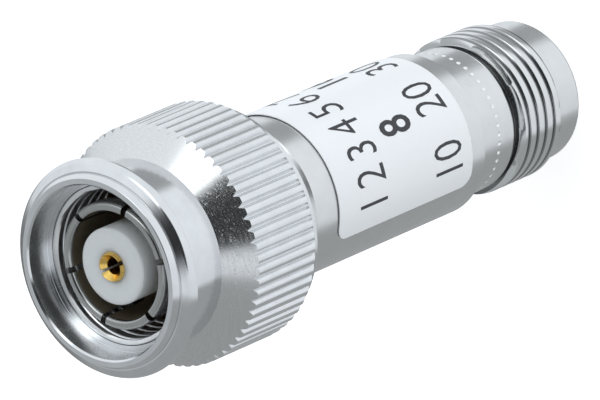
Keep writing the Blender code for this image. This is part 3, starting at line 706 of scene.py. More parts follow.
@dataclass(frozen=True)
class ScrewThread:
    """A right-hand 60 degree screw thread as a closed tube, which rises from its root at both ends.

    The shape is one pitch of it: the share of the pitch, and the share of the height. The ridge is
    wide. Its corner towards the nut is crisp, and the other one is worn round.
    """

    ridge: float
    root: float
    back: float
    low: float
    high: float
    pitch: float = 0.907 * MM
    phase: float = 0.72 * MM
    lead: float = 0.1 * MM
    columns: int = 180
    groove_height: float = 0.6
    end_reach: float = 0.25 * MM
    smooth_degrees: float = 40.0
    shape: tuple[Point, ...] = (
        *((0.0, 0.50), (0.01, 0.81), (0.05, 0.845), (0.10, 0.88), (0.15, 0.91), (0.20, 0.935)),
        *((0.25, 0.955), (0.31, 0.973), (0.40, 0.990), (0.52, 1.0), (0.70, 1.0), (0.79, 0.985)),
        *((0.81, 0.94), (0.92, 0.50), (0.95, 0.0), (0.98, 0.0)),
    )

    def _rows(self) -> list[list[Point]]:
        """Lays out the rows of the thread from the low end up.

        A row climbs one pitch in a turn, and goes on there as the row one pitch higher.

        Returns:
            The rows, each with a point for every column.
        """
        start = self.low - self.pitch - self.phase
        turns = math.ceil((self.high - start) / self.pitch) + 1
        rise = self.pitch / self.columns
        rows = []
        for turn in range(turns):
            for share, up in self.shape:
                row = []
                for i in range(self.columns):
                    height = start + (turn + share) * self.pitch + i * rise
                    height = self.low if height < self.low + rise / 2 else height
                    height = self.high if height > self.high - rise / 2 else height
                    from_ends = (height - self.low) / self.lead, (self.high - height) / self.lead
                    row.append((self.root + (self.ridge - self.root) * min(up, *from_ends), height))
                rows.append(row)
        return rows

    def build(self, name: str, *materials: Material) -> Piece:
        """Builds the tube.

        Args:
            name: The object's name.
            materials: The finishes of the ridges, of the grooves, and of the groove's high end.

        Returns:
            The new object.
        """
        rows = self._rows()
        count, step, top = self.columns, len(self.shape), len(rows)
        back = [(self.root, self.high), (self.back, self.high), (self.back, self.low)]
        rings = rows + [[point] * count for point in (*back, (self.root, self.low))]
        vertices = []
        for ring in rings:
            for turn, (radius, height) in zip(even_turns(count), ring):
                vertices.append((radius * math.cos(turn), radius * math.sin(turn), height))
        faces = []
        finishes = []
        for k in range(len(rings) - 1):
            height = min(self.shape[k % step][1], self.shape[(k + 1) % step][1])
            deep = k >= top or height < self.groove_height
            for i in range(count):
                here = k * count + i
                first, second = here + 1, here + count + 1
                if i == count - 1:
                    first = min(k + step, top) * count if k < top else k * count
                    second = min(k + 1 + step, top) * count if k + 1 < top else (k + 1) * count
                if first != second:
                    faces.append((here, here + count, second, first))
                    at_end = deep and vertices[here][2] > self.high - self.end_reach
                    finishes.append(2 if at_end else int(deep))
        mesh = bpy.data.meshes.new(name)
        mesh.from_pydata(vertices, [], faces)
        piece = add_object(name, mesh, *materials)
        mesh.polygons.foreach_set("material_index", finishes)
        clean(mesh, self.smooth_degrees)
        return piece


# The coupling nut


@dataclass
class CouplingNut:
    """The knurled coupling nut with its inner thread."""

    palette: Palette
    array: RadialArray
    teeth: int = 62
    knurl_phase: float = math.radians(-1.0)
    groove_depth: float = 0.27 * MM
    groove_share: float = 0.60
    floor_share: float = 0.13
    shoulder: float = 0.07 * MM
    shoulder_slope: float = math.radians(30)
    cone_steps: int = 5
    groove_steps: int = 5
    neck_below_knurl: float = 1.955 * MM
    neck_length: float = 3.4 * MM
    neck_wall: float = 0.42 * MM
    cone_length: float = 1.5 * MM
    knurl_length: float = 5.8 * MM
    rim_step: float = 0.42 * MM
    lip_above_neck: float = 1.13 * MM
    lip_length: float = 1.3 * MM
    lip_back: float = 0.4 * MM
    lip_run: float = 0.5 * MM
    lip_run_round: float = 0.5 * MM
    lip_drop: float = 0.12 * MM
    lip_crown: float = 0.15 * MM
    lip_crown_round: float = 0.3 * MM
    face_width: float = 0.36 * MM
    face_step: float = 0.36 * MM
    groove_above_neck: float = 0.28 * MM
    groove_slant: float = 0.02 * MM
    groove_width: float = 0.12 * MM
    mouth_chamfer: float = 0.12 * MM
    counterbore_depth: float = 1.95 * MM
    counterbore_foot: float = 0.2 * MM
    thread_depth: float = 0.32 * MM
    thread_minor: float = 5.165 * MM
    thread_end: float = 6.56 * MM
    thread_lip: float = 0.15 * MM
    thread_lip_drop: float = 0.05 * MM
    relief: float = 5.75 * MM
    web_bore: float = 5.13 * MM
    web_length: float = 2.85 * MM
    radius: float = field(init=False)
    bottom: float = field(init=False)
    top: float = field(init=False)

    def __post_init__(self) -> None:
        """Reads the nut's size from the frame."""
        (_, _, self.bottom), (across, along, self.top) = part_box("coupling_nut")
        self.radius = min(across, along)

    def build(self) -> list[Piece]:
        """Builds the nut and its thread.

        Returns:
            The new objects.
        """
        looks = self.palette.pick(Finish.NUT, Finish.CONE, Finish.KNURL)
        nut = self.array.repeat("coupling_nut_body", self._tooth_sector(), self.teeth, *looks)
        return stand_in([nut, self._inner_thread()], "coupling_nut", NUT)

    def _front(self) -> list[Corner]:
        """Lays out the front of the profile.

        Returns:
            The corners from the mouth over the lip and the neck to the cone's start.
        """
        r_neck = self.radius - self.neck_below_knurl
        r_lip = r_neck + self.lip_above_neck
        r_step = r_neck + self.groove_above_neck
        r_bore = r_neck - self.neck_wall
        r_mouth = r_bore + self.mouth_chamfer
        z_step = self.top - self.face_step
        z_groove = z_step - self.mouth_chamfer
        z_lip = self.top - self.lip_length
        z_neck = z_lip - self.lip_back
        return [
            Corner(r_bore, self.top - self.mouth_chamfer, Edge.HAIR),
            Corner(r_mouth, self.top, Edge.CRISP),
            Corner(r_mouth + self.face_width, self.top, Edge.SOFT),
            Corner(r_step, z_step, Edge.FINE),
            Corner(r_step + self.groove_slant, z_groove, Edge.CRISP),
            Corner(r_step + self.groove_width, z_groove, Edge.LARGE),
            Corner(r_lip - self.lip_drop, z_lip + self.lip_run, self.lip_run_round),
            Corner(r_lip, z_lip + self.lip_crown, self.lip_crown_round),
            Corner(r_lip, z_lip, Edge.SOFT),
            Corner(r_neck, z_neck, Edge.SOFT),
            Corner(r_neck, z_neck - self.neck_length),
        ]

    def _rear(self, z_knurl_end: float) -> list[Corner]:
        """Lays out the rest of the profile.

        Args:
            z_knurl_end: The height of the knurl's rear end.

        Returns:
            The corners from the rear chamfer through the web and the relief to the bore.
        """
        r_rim = self.radius - self.rim_step
        r_bore = self.radius - self.neck_below_knurl - self.neck_wall
        r_thread = self.thread_minor + self.thread_depth + THREAD_OVERLAP
        z_bore = self.top - self.counterbore_depth
        z_thread = self.top - self.thread_end
        z_web = self.bottom + self.web_length
        return [
            Corner(r_rim, z_knurl_end - self.rim_step),
            Corner(r_rim, self.bottom, Edge.SOFT),
            Corner(self.web_bore, self.bottom, Edge.SOFT),
            Corner(self.web_bore, z_web, Edge.FINE),
            Corner(self.relief, z_web, Edge.FINE),
            Corner(self.relief, z_thread, Edge.FINE),
            Corner(r_thread, z_thread, Edge.FINE),
            Corner(r_thread, z_bore - self.thread_lip_drop, Edge.HAIR),
            Corner(r_thread - self.thread_lip, z_bore, Edge.FINE),
            Corner(r_bore, z_bore, Edge.PLAIN),
            Corner(r_bore, z_bore + self.counterbore_foot),
        ]

    def _half_groove(self) -> list[Point]:
        """Lays out half a groove of the knurl.

        Returns:
            From its middle on, each column's turn and its depth.
        """
        pitch = math.tau / self.teeth
        edge = 0.5 * pitch * self.groove_share
        shoulder = edge - self.shoulder / self.radius
        drop = self.shoulder * math.tan(self.shoulder_slope)
        floor = edge * self.floor_share
        return [(floor, self.groove_depth), (shoulder, drop), (edge, 0.0), (pitch / 2, 0.0)]

    def _tooth_sector(self) -> bpy.types.Mesh:
        """Builds the sector from the middle of one tooth to the middle of the next.

        Every column of the sector meets the cone and the rear chamfer where its own place in the
        groove does, so the grooves run out in true curves.

        Returns:
            The mesh.
        """
        front = self._front()
        r_neck, z_edge = front[-1].radius, front[-1].height
        z_knurl = z_edge - self.cone_length
        z_rear = z_knurl - self.knurl_length
        front_points = Rounding().apply(front, closed=False)
        rear_points = Rounding().apply(self._rear(z_rear), closed=False)
        half = self._half_groove()
        columns = []
        for place, depth in [(-turn, depth) for turn, depth in reversed(half)] + half:
            radius = self.radius - depth
            along = (radius - r_neck) / (self.radius - r_neck)
            z_front = z_edge - along * (z_edge - z_knurl)
            z_back = z_rear - (self.radius - radius)
            points = list(front_points)
            for part in (step / self.cone_steps for step in range(1, self.cone_steps + 1)):
                height = z_edge + (z_front - z_edge) * part
                points.append((r_neck + (radius - r_neck) * part, height))
            for step in range(1, self.groove_steps + 1):
                points.append((radius, z_front + (z_back - z_front) * step / self.groove_steps))
            columns.append((self.knurl_phase + place, points + rear_points))
        cone = len(front_points) - 1
        knurl = cone + self.cone_steps
        bore = len(columns[0][1]) - 1
        finishes = {2: range(cone, knurl), 3: (*range(knurl, knurl + self.groove_steps + 1), bore)}
        return sweep("coupling_nut_sector", columns, full_turn=False, finishes=finishes)

    def _inner_thread(self) -> Piece:
        """Builds the thread that the mating jack screws into.

        Returns:
            The new object.
        """
        root = self.thread_minor + self.thread_depth
        low, high = self.top - self.thread_end, self.top - self.counterbore_depth
        thread = ScrewThread(self.thread_minor, root, root + THREAD_WALL, low, high)
        # The ridges get the paler plating as a painted highlight.
        looks = self.palette.pick(Finish.SATIN_HIGHLIGHT, Finish.KNURL, Finish.KNURL)
        return thread.build("coupling_nut_thread", *looks)


# The plug's inside


@dataclass(frozen=True)
class Fingers:
    """How a ring is slit: the fingers' count, the first slot's turn, and the slots' width there."""

    count: int
    start: float
    gap: float
    radius: float


@dataclass
class PlugInterior:
    """What shows in the nut's mouth: the spring fingers, the post, the socket and the gasket."""

    palette: Palette
    array: RadialArray
    fingers: int = 6
    finger_turn: float = math.radians(16.8)
    slot_width: float = 0.42 * MM
    slot_length: float = 4.4 * MM
    finger_wall: float = 0.45 * MM
    tip_swell: float = 0.2 * MM
    tip_length: float = 1.1 * MM
    post_radius: float = 2.65 * MM
    post_length: float = 5.9 * MM
    post_round: float = 0.14 * MM
    flange_length: float = 1.5 * MM
    hole_play: float = 0.04 * MM
    hole_lip: float = 0.12 * MM
    funnel_depth: float = 0.26 * MM
    socket_funnel: float = 1.5
    socket_lip: float = 1.3
    socket_wall: float = 0.50 * MM
    socket_slit: float = 0.16 * MM
    socket_slit_length: float = 3.6 * MM
    socket_hole_depth: float = 4.6 * MM
    stem_core: float = 0.02 * MM
    stem_segments: int = 48
    gasket_width: float = 0.85 * MM
    collar_step: float = 0.4 * MM
    collar_length: float = 1.0 * MM
    ring_groove: float = 0.45 * MM
    nose_bore: float = 4.5 * MM
    nose_length: float = 1.3 * MM
    shank_wall: float = 1.5 * MM
    shank_wall_at_nose: float = 1.2 * MM

    def build(self) -> list[Piece]:
        """Builds the contact, the post, the socket, the gasket and the plug's body.

        Returns:
            The new objects.
        """
        return [
            *stand_in(self._outer_contact(), "plug_outer_contact", HOUSING),
            *stand_in([self._post()], "plug_insulator", HOUSING),
            *stand_in(self._socket(), "plug_centre_contact", HOUSING),
            *stand_in([self._gasket()], "sealing_gasket", HOUSING),
            *stand_in([self._body()], "plug_body", HOUSING),
        ]

    def _slit_ring(
        self, name: str, corners: list[Corner], fingers: Fingers, *materials: Material
    ) -> Piece:
        """Sweeps a closed profile between two slots and repeats it round the axis.

        Args:
            name: The object's name.
            corners: The section of a finger.
            fingers: The fingers' count and slots.
            materials: The finish, and that of the stretch from the last corner to the first.

        Returns:
            The fingers as one object.
        """
        points = Rounding().apply(corners)
        half_gap = fingers.gap / 2 / fingers.radius
        span = math.tau / fingers.count - 2 * half_gap
        steps = max(LEAST_STEPS, round(span / math.tau * SEGMENTS))
        start = fingers.start + half_gap
        columns = [(start + span * i / steps, points) for i in range(steps + 1)]
        inside = {2: range(len(points) - 1, len(points))}
        sector = sweep(name, columns, full_turn=False, capped=True, finishes=inside)
        return self.array.repeat(name, sector, fingers.count, *materials)

    def _outer_contact(self) -> list[Piece]:
        """Builds the six sprung fingers and the ring that they grow from.

        Returns:
            The new objects.
        """
        r_tip, z_base, z_tip = extent("plug_outer_contact")
        r_waist = r_tip - self.tip_swell
        r_bore = r_waist - self.finger_wall
        z_slot = z_tip - self.slot_length
        z_swell = z_tip - self.tip_length
        finger = [
            Corner(r_bore, z_tip, Edge.FINGER),
            Corner(r_tip, z_tip, Edge.FINGER),
            Corner(r_tip, z_swell, Edge.ROUND),
            Corner(r_waist, z_swell - self.tip_swell, Edge.ROUND),
            Corner(r_waist, z_slot - SEAM),
            Corner(r_bore, z_slot - SEAM),
        ]
        slots = Fingers(self.fingers, self.finger_turn, self.slot_width, r_waist)
        # The fingers' bore and their ring get the painted shade of the mouth's depth.
        plated, bore = self.palette.pick(Finish.CONTACT, Finish.SHADED_BORE)
        ring = square_section(r_bore, r_waist, z_slot, z_base, Edge.HAIR)
        return [
            self._slit_ring("plug_contact_fingers", finger, slots, plated, bore),
            lathe("plug_contact_ring", ring, bore),
        ]

    def _post(self) -> Piece:
        """Builds the white post and the flange behind it.

        Returns:
            The new object.
        """
        r_flange, z_end, z_front = extent("plug_insulator")
        r_hole = extent("plug_centre_contact")[0] + self.hole_play
        z_flange = z_front - self.post_length
        z_flange_end = z_flange - self.flange_length
        corners = [
            Corner(r_hole, z_front - self.funnel_depth, Edge.PLAIN),
            Corner(r_hole - self.hole_lip, z_front, Edge.PLAIN),
            Corner(self.post_radius, z_front, self.post_round),
            Corner(self.post_radius, z_flange, Edge.PLAIN),
            Corner(r_flange, z_flange, Edge.PLAIN),
            Corner(r_flange, z_flange_end, Edge.PLAIN),
            Corner(self.post_radius, z_flange_end, Edge.PLAIN),
            Corner(self.post_radius, z_end, Edge.PLAIN),
            Corner(r_hole, z_end, Edge.PLAIN),
        ]
        return lathe("plug_insulator_post", corners, self.palette[Finish.INSULATOR])

    def _socket(self) -> list[Piece]:
        """Builds the slit gold socket and the conductor behind it.

        Returns:
            The new objects.
        """
        r_out, z_end, z_front = extent("plug_centre_contact")
        r_hole = r_out - self.socket_wall
        z_slit = z_front - self.socket_slit_length
        z_floor = z_front - self.socket_hole_depth
        jaw = [
            Corner(r_hole, z_front - self.socket_funnel * self.funnel_depth, Edge.ROUND),
            Corner(r_out - self.socket_lip * self.hole_lip, z_front, Edge.FINE),
            Corner(r_out - self.hole_lip, z_front, Edge.CRISP),
            Corner(r_out, z_front - self.funnel_depth, Edge.CRISP),
            Corner(r_out, z_slit),
            Corner(r_hole, z_slit),
        ]
        stem = [
            Corner(r_hole, z_slit + SEAM),
            Corner(r_out, z_slit + SEAM),
            Corner(r_out, z_end, Edge.PLAIN),
            Corner(self.stem_core, z_end),
            Corner(self.stem_core, z_floor),
            Corner(r_hole, z_floor, Edge.ROUND),
        ]
        gold = self.palette[Finish.GOLD]
        slits = Fingers(2, math.pi / 2, self.socket_slit, r_hole)
        return [
            self._slit_ring("plug_socket_jaws", jaw, slits, gold),
            lathe("plug_socket_stem", stem, gold, self.stem_segments),
        ]

    def _gasket(self) -> Piece:
        """Builds the flat gasket behind the fingers.

        Returns:
            The new object.
        """
        r_out, z_low, z_high = extent("sealing_gasket")
        section = square_section(r_out - self.gasket_width, r_out, z_high, z_low, Edge.FULL)
        return lathe("sealing_gasket_ring", section, self.palette[Finish.RUBBER])

    def _body(self) -> Piece:
        """Builds the plug's body: its journal shows behind the nut, and its nose in the mouth.

        Returns:
            The new object.
        """
        r_collar, z_end, z_nose = extent("plug_body")
        r_journal = r_collar - self.collar_step
        r_groove = r_journal - self.ring_groove
        r_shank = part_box("front_shield_half")[1][0]
        z_collar = extent("housing_sleeve")[2] + PLAY
        z_journal = z_collar + self.collar_length
        z_web = z_nose - self.nose_length
        _, ring_low, ring_high = extent("nut_retaining_ring")
        z_groove_low, z_groove_high = ring_low - PLAY, ring_high + PLAY
        corners = [
            Corner(self.nose_bore, z_nose, Edge.PLAIN),
            Corner(r_journal, z_nose, Edge.LARGE),
            Corner(r_journal, z_groove_high, Edge.CRISP),
            Corner(r_groove, z_groove_high, Edge.CRISP),
            Corner(r_groove, z_groove_low, Edge.CRISP),
            Corner(r_journal, z_groove_low, Edge.CRISP),
            Corner(r_journal, z_journal, Edge.SOFT),
            Corner(r_collar, z_journal, Edge.SOFT),
            Corner(r_collar, z_collar, Edge.PLAIN),
            Corner(r_shank, z_collar, Edge.PLAIN),
            Corner(r_shank, z_end, Edge.PLAIN),
            Corner(r_shank - self.shank_wall, z_end, Edge.PLAIN),
            Corner(r_shank - self.shank_wall_at_nose, z_web, Edge.PLAIN),
            Corner(self.nose_bore, z_web, Edge.PLAIN),
        ]
        return lathe("plug_body_turned", corners, self.palette[Finish.JOURNAL])


# The housing and its label


@dataclass
class Housing:
    """The plain sleeve."""

    palette: Palette
    front_chamfer: float = 0.38 * MM
    wall: float = 1.1 * MM
    segments: int = 240

    def build(self) -> list[Piece]:
        """Builds the sleeve.

        Returns:
            The new objects.
        """
        r_out, z_low, z_high = extent("housing_sleeve")
        r_in = r_out - self.wall
        corners = [
            Corner(r_in, z_high, Edge.PLAIN),
            Corner(r_out - self.front_chamfer, z_high, Edge.PLAIN),
            Corner(r_out, z_high - self.front_chamfer, Edge.SOFT),
            Corner(r_out, z_low, Edge.EASED),
            Corner(r_in, z_low, Edge.PLAIN),
        ]
        sleeve = lathe("housing_sleeve_turned", corners, self.palette[Finish.BODY], self.segments)
        return stand_in([sleeve], "housing_sleeve", HOUSING)


@dataclass(frozen=True)
class PrintRow:
    """A row of numerals: the first one's turn, their spacing and count, the foot and the weight."""

    first: float
    spacing: float
    count: int
    step: int
    foot: float
    weight: float


@dataclass
class RatingLabel:
    """The thin label round the sleeve, printed with rows of plain numerals."""

    palette: Palette
    arc: float = math.radians(300)
    middle: float = math.radians(11)
    corner: float = 1.0 * MM
    corner_steps: int = 8
    plain_steps: int = 180
    film: float = 0.07 * MM
    print_gap: float = 0.006 * MM
    print_depth: float = 0.004 * MM
    type_height: float = 3.0 * MM
    type_width: float = 0.66
    height_share: float = 0.7
    curve_steps: int = 3
    bend_step: float = 0.25 * MM
    rows: tuple[PrintRow, ...] = (
        PrintRow(math.radians(11), math.radians(18.5), 9, 1, 5.1 * MM, -0.03 * MM),
        PrintRow(math.radians(54), math.radians(58), 3, 8, 9.2 * MM, 0.05 * MM),
        PrintRow(math.radians(11), math.radians(46), 5, 10, 13.2 * MM, -0.03 * MM),
    )
    outer: float = field(init=False)
    bottom: float = field(init=False)
    top: float = field(init=False)

    def __post_init__(self) -> None:
        """Reads the label's size from the frame."""
        self.outer, self.bottom, self.top = extent("rating_label")

    def build(self) -> list[Piece]:
        """Builds the film and its print.

        Returns:
            The new objects.
        """
        film, ink = self._film(), self._print()
        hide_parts("rating_label")
        for piece in (film, ink):
            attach(piece, HOUSING)
        return [film, ink]

    def _film(self) -> Piece:
        """Builds the sheet with its rounded corners.

        Returns:
            The new object.
        """
        inner = self.outer - self.film
        reach = self.corner / inner
        ends = []
        for angle in (math.pi / 2 * i / self.corner_steps for i in range(self.corner_steps + 1)):
            ends.append((reach * (1 - math.cos(angle)), self.corner * (1 - math.sin(angle))))
        span = self.arc - 2 * reach
        plain = [(reach + span * i / self.plain_steps, 0.0) for i in range(1, self.plain_steps)]
        columns = []
        for turn, drop in ends + plain + [(self.arc - turn, drop) for turn, drop in reversed(ends)]:
            low, high = self.bottom + drop, self.top - drop
            loop = [(inner, high), (self.outer, high), (self.outer, low), (inner, low)]
            columns.append((self.middle - self.arc / 2 + turn, loop))
        mesh = sweep("rating_label_film", columns, full_turn=False, capped=True)
        clean(mesh)
        return add_object("rating_label_film", mesh, self.palette[Finish.LABEL])

    def _print(self) -> Piece:
        """Prints three rows of plain numerals.

        The rows run round the sleeve, and the numerals' tops point to the nut.

        Returns:
            The new object.
        """
        shape = bmesh.new()
        for row in self.rows:
            for i in range(row.count):
                turn = self.middle - self.arc / 2 + row.first + i * row.spacing
                self._numeral(shape, row, str(i * row.step + row.step), turn)
        mesh = bpy.data.meshes.new("rating_label_print")
        shape.to_mesh(mesh)
        shape.free()
        return add_object("rating_label_print", mesh, self.palette[Finish.INK])

    def _type(self, row: PrintRow, text: str) -> bmesh.types.BMesh:
        """Sets numerals in flat type, cut across at short steps so that they can bend.

        Args:
            row: The row's type.
            text: The numerals.

        Returns:
            The type.
        """
        curve = bpy.data.curves.new("numeral", "FONT")
        curve.body = text
        curve.size = self.type_height / self.height_share
        curve.offset = row.weight
        curve.extrude = self.print_depth / 2
        curve.resolution_u = self.curve_steps
        writer = add_object("numeral", curve)
        depsgraph = bpy.context.evaluated_depsgraph_get()
        flat = bpy.data.meshes.new_from_object(writer.evaluated_get(depsgraph), depsgraph=depsgraph)
        bpy.data.objects.remove(writer, do_unlink=True)
        bpy.data.curves.remove(curve)
        glyph = bmesh.new()
        glyph.from_mesh(flat)
        bpy.data.meshes.remove(flat)
        bmesh.ops.scale(glyph, vec=(self.type_width, 1, 1), verts=glyph.verts)
        width = max(vert.co.x for vert in glyph.verts)
        for cut in range(1, math.ceil(width / self.bend_step)):
            parts = glyph.verts[:] + glyph.edges[:] + glyph.faces[:]
            place = (cut * self.bend_step, 0, 0)
            bmesh.ops.bisect_plane(glyph, geom=parts, plane_co=place, plane_no=(1, 0, 0))
        bmesh.ops.remove_doubles(glyph, verts=glyph.verts, dist=SHORTEST_EDGE)
        return glyph

    def _numeral(self, shape: bmesh.types.BMesh, row: PrintRow, text: str, turn: float) -> None:
        """Adds numerals to the print, bent round the label.

        Args:
            shape: The print so far.
            row: The row's type.
            text: The numerals.
            turn: The turn of the first numeral's start.
        """
        glyph = self._type(row, text)
        foot = self.top - row.foot
        for vert in glyph.verts:
            across, up, lift = vert.co
            radius = self.outer + self.print_gap + (lift + self.print_depth / 2)
            angle = turn + across / self.outer
            vert.co = (radius * math.cos(angle), radius * math.sin(angle), foot + up)
        made = bpy.data.meshes.new("numeral")
        glyph.to_mesh(made)
        glyph.free()
        shape.from_mesh(made)
        bpy.data.meshes.remove(made)


# The jack


@dataclass
class Jack:
    """The jack's body with its dimpled land, its thread and its end ring."""

    palette: Palette
    array: RadialArray
    dimples: int = 49
    dimple_turn: float = math.radians(-70.2)
    dimple_radius: float = 0.15 * MM
    dimple_depth: float = 0.08 * MM
    dimple_height: float = 9.1 * MM
    dimple_half_steps: int = 4
    dimple_margin: float = 1.05
    end_step: float = 0.555 * MM
    end_length: float = 2.45 * MM
    end_wall: float = 0.75 * MM
    end_round: float = 0.2 * MM
    bore_depth: float = 5.8 * MM
    bore_step: float = 1.15 * MM
    bore_roof: float = 3.6 * MM
    relief_step: float = 0.15 * MM
    relief_length: float = 0.25 * MM
    thread_length: float = 4.41 * MM
    thread_depth: float = 0.49 * MM
    neck_depth: float = 0.78 * MM
    neck_length: float = 0.44 * MM
    land_step: float = 0.42 * MM
    land_edge: float = 0.42 * MM
    shank_wall: float = 1.2 * MM
    r_thread: float = field(init=False)
    r_land: float = field(init=False)
    r_neck: float = field(init=False)
    z_top: float = field(init=False)
    z_neck: float = field(init=False)
    z_land: float = field(init=False)

    def __post_init__(self) -> None:
        """Reads the jack's size from the frame and works out what several methods share."""
        self.r_thread, _, self.z_top = extent("jack_body")
        self.r_land = self.r_thread - self.land_step
        self.r_neck = self.r_thread - self.neck_depth
        self.z_neck = self.end_length + self.thread_length
        self.z_land = self.z_neck + self.neck_length

    def build(self) -> list[Piece]:
        """Builds the body and the thread.

        Returns:
            The new objects.
        """
        return stand_in([self._body(), self._thread()], "jack_body", HOUSING)

    def _above(self) -> list[Corner]:
        """Lays out the upper part of the profile.

        Returns:
            The corners from the shank's end to the dimples.
        """
        r_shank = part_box("front_shield_half")[1][0]
        z_shoulder = extent("housing_sleeve")[1] - PLAY
        return [
            Corner(r_shank - self.shank_wall, self.z_top, Edge.PLAIN),
            Corner(r_shank, self.z_top, Edge.PLAIN),
            Corner(r_shank, z_shoulder, Edge.HAIR),
            Corner(self.r_land, z_shoulder, Edge.EASED),
            Corner(self.r_land, self.dimple_height + 2 * self.dimple_radius),
        ]

    def _below(self) -> list[Corner]:
        """Lays out the lower part of the profile.

        Returns:
            The corners from the dimples over the neck, the thread and the end into the bore.
        """
        r_end = self.r_thread - self.end_step
        r_relief = r_end - self.relief_step
        r_bore = r_end - self.end_wall
        r_core = self.r_thread - self.thread_depth - THREAD_OVERLAP
        z_relief = self.end_length + self.relief_length
        return [
            Corner(self.r_land, self.dimple_height - 2 * self.dimple_radius),
            Corner(self.r_land, self.z_land, self.land_edge),
            Corner(self.r_neck, self.z_land, Edge.HAIR),
            Corner(self.r_neck, self.z_neck, Edge.FINE),
            Corner(r_core, self.z_neck, Edge.HAIR),
            Corner(r_core, z_relief, Edge.HAIR),
            Corner(r_relief, z_relief, Edge.FINE),
            Corner(r_relief, self.end_length, Edge.FINE),
            Corner(r_end, self.end_length, Edge.EASED),
            Corner(r_end, 0.0, self.end_round),
            Corner(r_bore, 0.0, Edge.LARGE),
            Corner(r_bore, self.bore_depth, Edge.PLAIN),
            Corner(r_bore - self.bore_step, self.bore_depth, Edge.PLAIN),
            Corner(r_bore - self.bore_step, self.z_top - self.bore_roof),
        ]

    def _body(self) -> Piece:
        """Builds the turned body as one sector with one dimple, and repeats it.

        Returns:
            The new object.
        """
        above = Rounding().apply(self._above(), closed=False)
        below = Rounding().apply(self._below(), closed=False)
        pitch = math.tau / self.dimples
        reach = self.dimple_radius / self.r_land
        half = self.dimple_half_steps
        edge = self.dimple_margin * reach
        hollow = [reach * (i / half - 1) for i in range(2 * half + 1)]
        columns = []
        for place in [-pitch / 2, -edge, *hollow, edge, pitch / 2]:
            points = list(above)
            for step in range(2 * half + 1):
                up = self.dimple_radius * (1 - step / half) * self.dimple_margin
                height = self.dimple_height + up
                distance = math.hypot(place * self.r_land, height - self.dimple_height)
                down = self.dimple_depth * max(0.0, 1 - (distance / self.dimple_radius) ** 2)
                points.append((self.r_land - down, height))
            columns.append((self.dimple_turn + place, points + below))
        sector = sweep("jack_body_sector", columns, full_turn=False)
        self._mark(sector)
        # The dimples get a paler plating as a painted highlight, and the neck painted shade.
        looks = self.palette.pick(Finish.BODY, Finish.SATIN_HIGHLIGHT, Finish.NECK_SHADE)
        return self.array.repeat("jack_body_turned", sector, self.dimples, *looks)

    def _mark(self, sector: bpy.types.Mesh) -> None:
        """Marks the faces of the dimple with the paler plating that paints their highlight, and
        those of the neck with painted shade.

        Args:
            sector: The mesh of the sector.
        """
        marks = sector.attributes["finish"].data
        for face in sector.polygons:
            x, y, z = face.center
            radius = math.hypot(x, y)
            across = (math.atan2(y, x) - self.dimple_turn) * self.r_land
            # Faces of the dimple get the paler plating, a painted highlight.
            outside = radius > self.r_land - 2 * self.dimple_depth
            if outside and math.hypot(across, z - self.dimple_height) < self.dimple_radius:
                marks[face.index].value = 2
            # Faces of the neck get painted shade.
            in_neck_shade = self.z_neck - self.relief_step < z < self.z_land
            if in_neck_shade and abs(radius - self.r_neck) < self.land_step:
                marks[face.index].value = 3

    def _thread(self) -> Piece:
        """Builds the thread that a mating nut runs on.

        Returns:
            The new object.
        """
        root = self.r_thread - self.thread_depth
        low = self.end_length + self.relief_length
        thread = ScrewThread(self.r_thread, root, root - THREAD_WALL, low, self.z_neck)
        # The grooves get painted shade, and the groove's high end the darker painted shade of the
        # neck.
        looks = self.palette.pick(Finish.THREAD, Finish.GROOVE_SHADE, Finish.NECK_SHADE)
        return thread.build("jack_thread", *looks)


# Studio


@dataclass(frozen=True)
class Card:
    """A soft round patch of the studio's light or shade, seen from the object."""

    direction: Direction
    reach: float
    softness: float
    colour: Colour


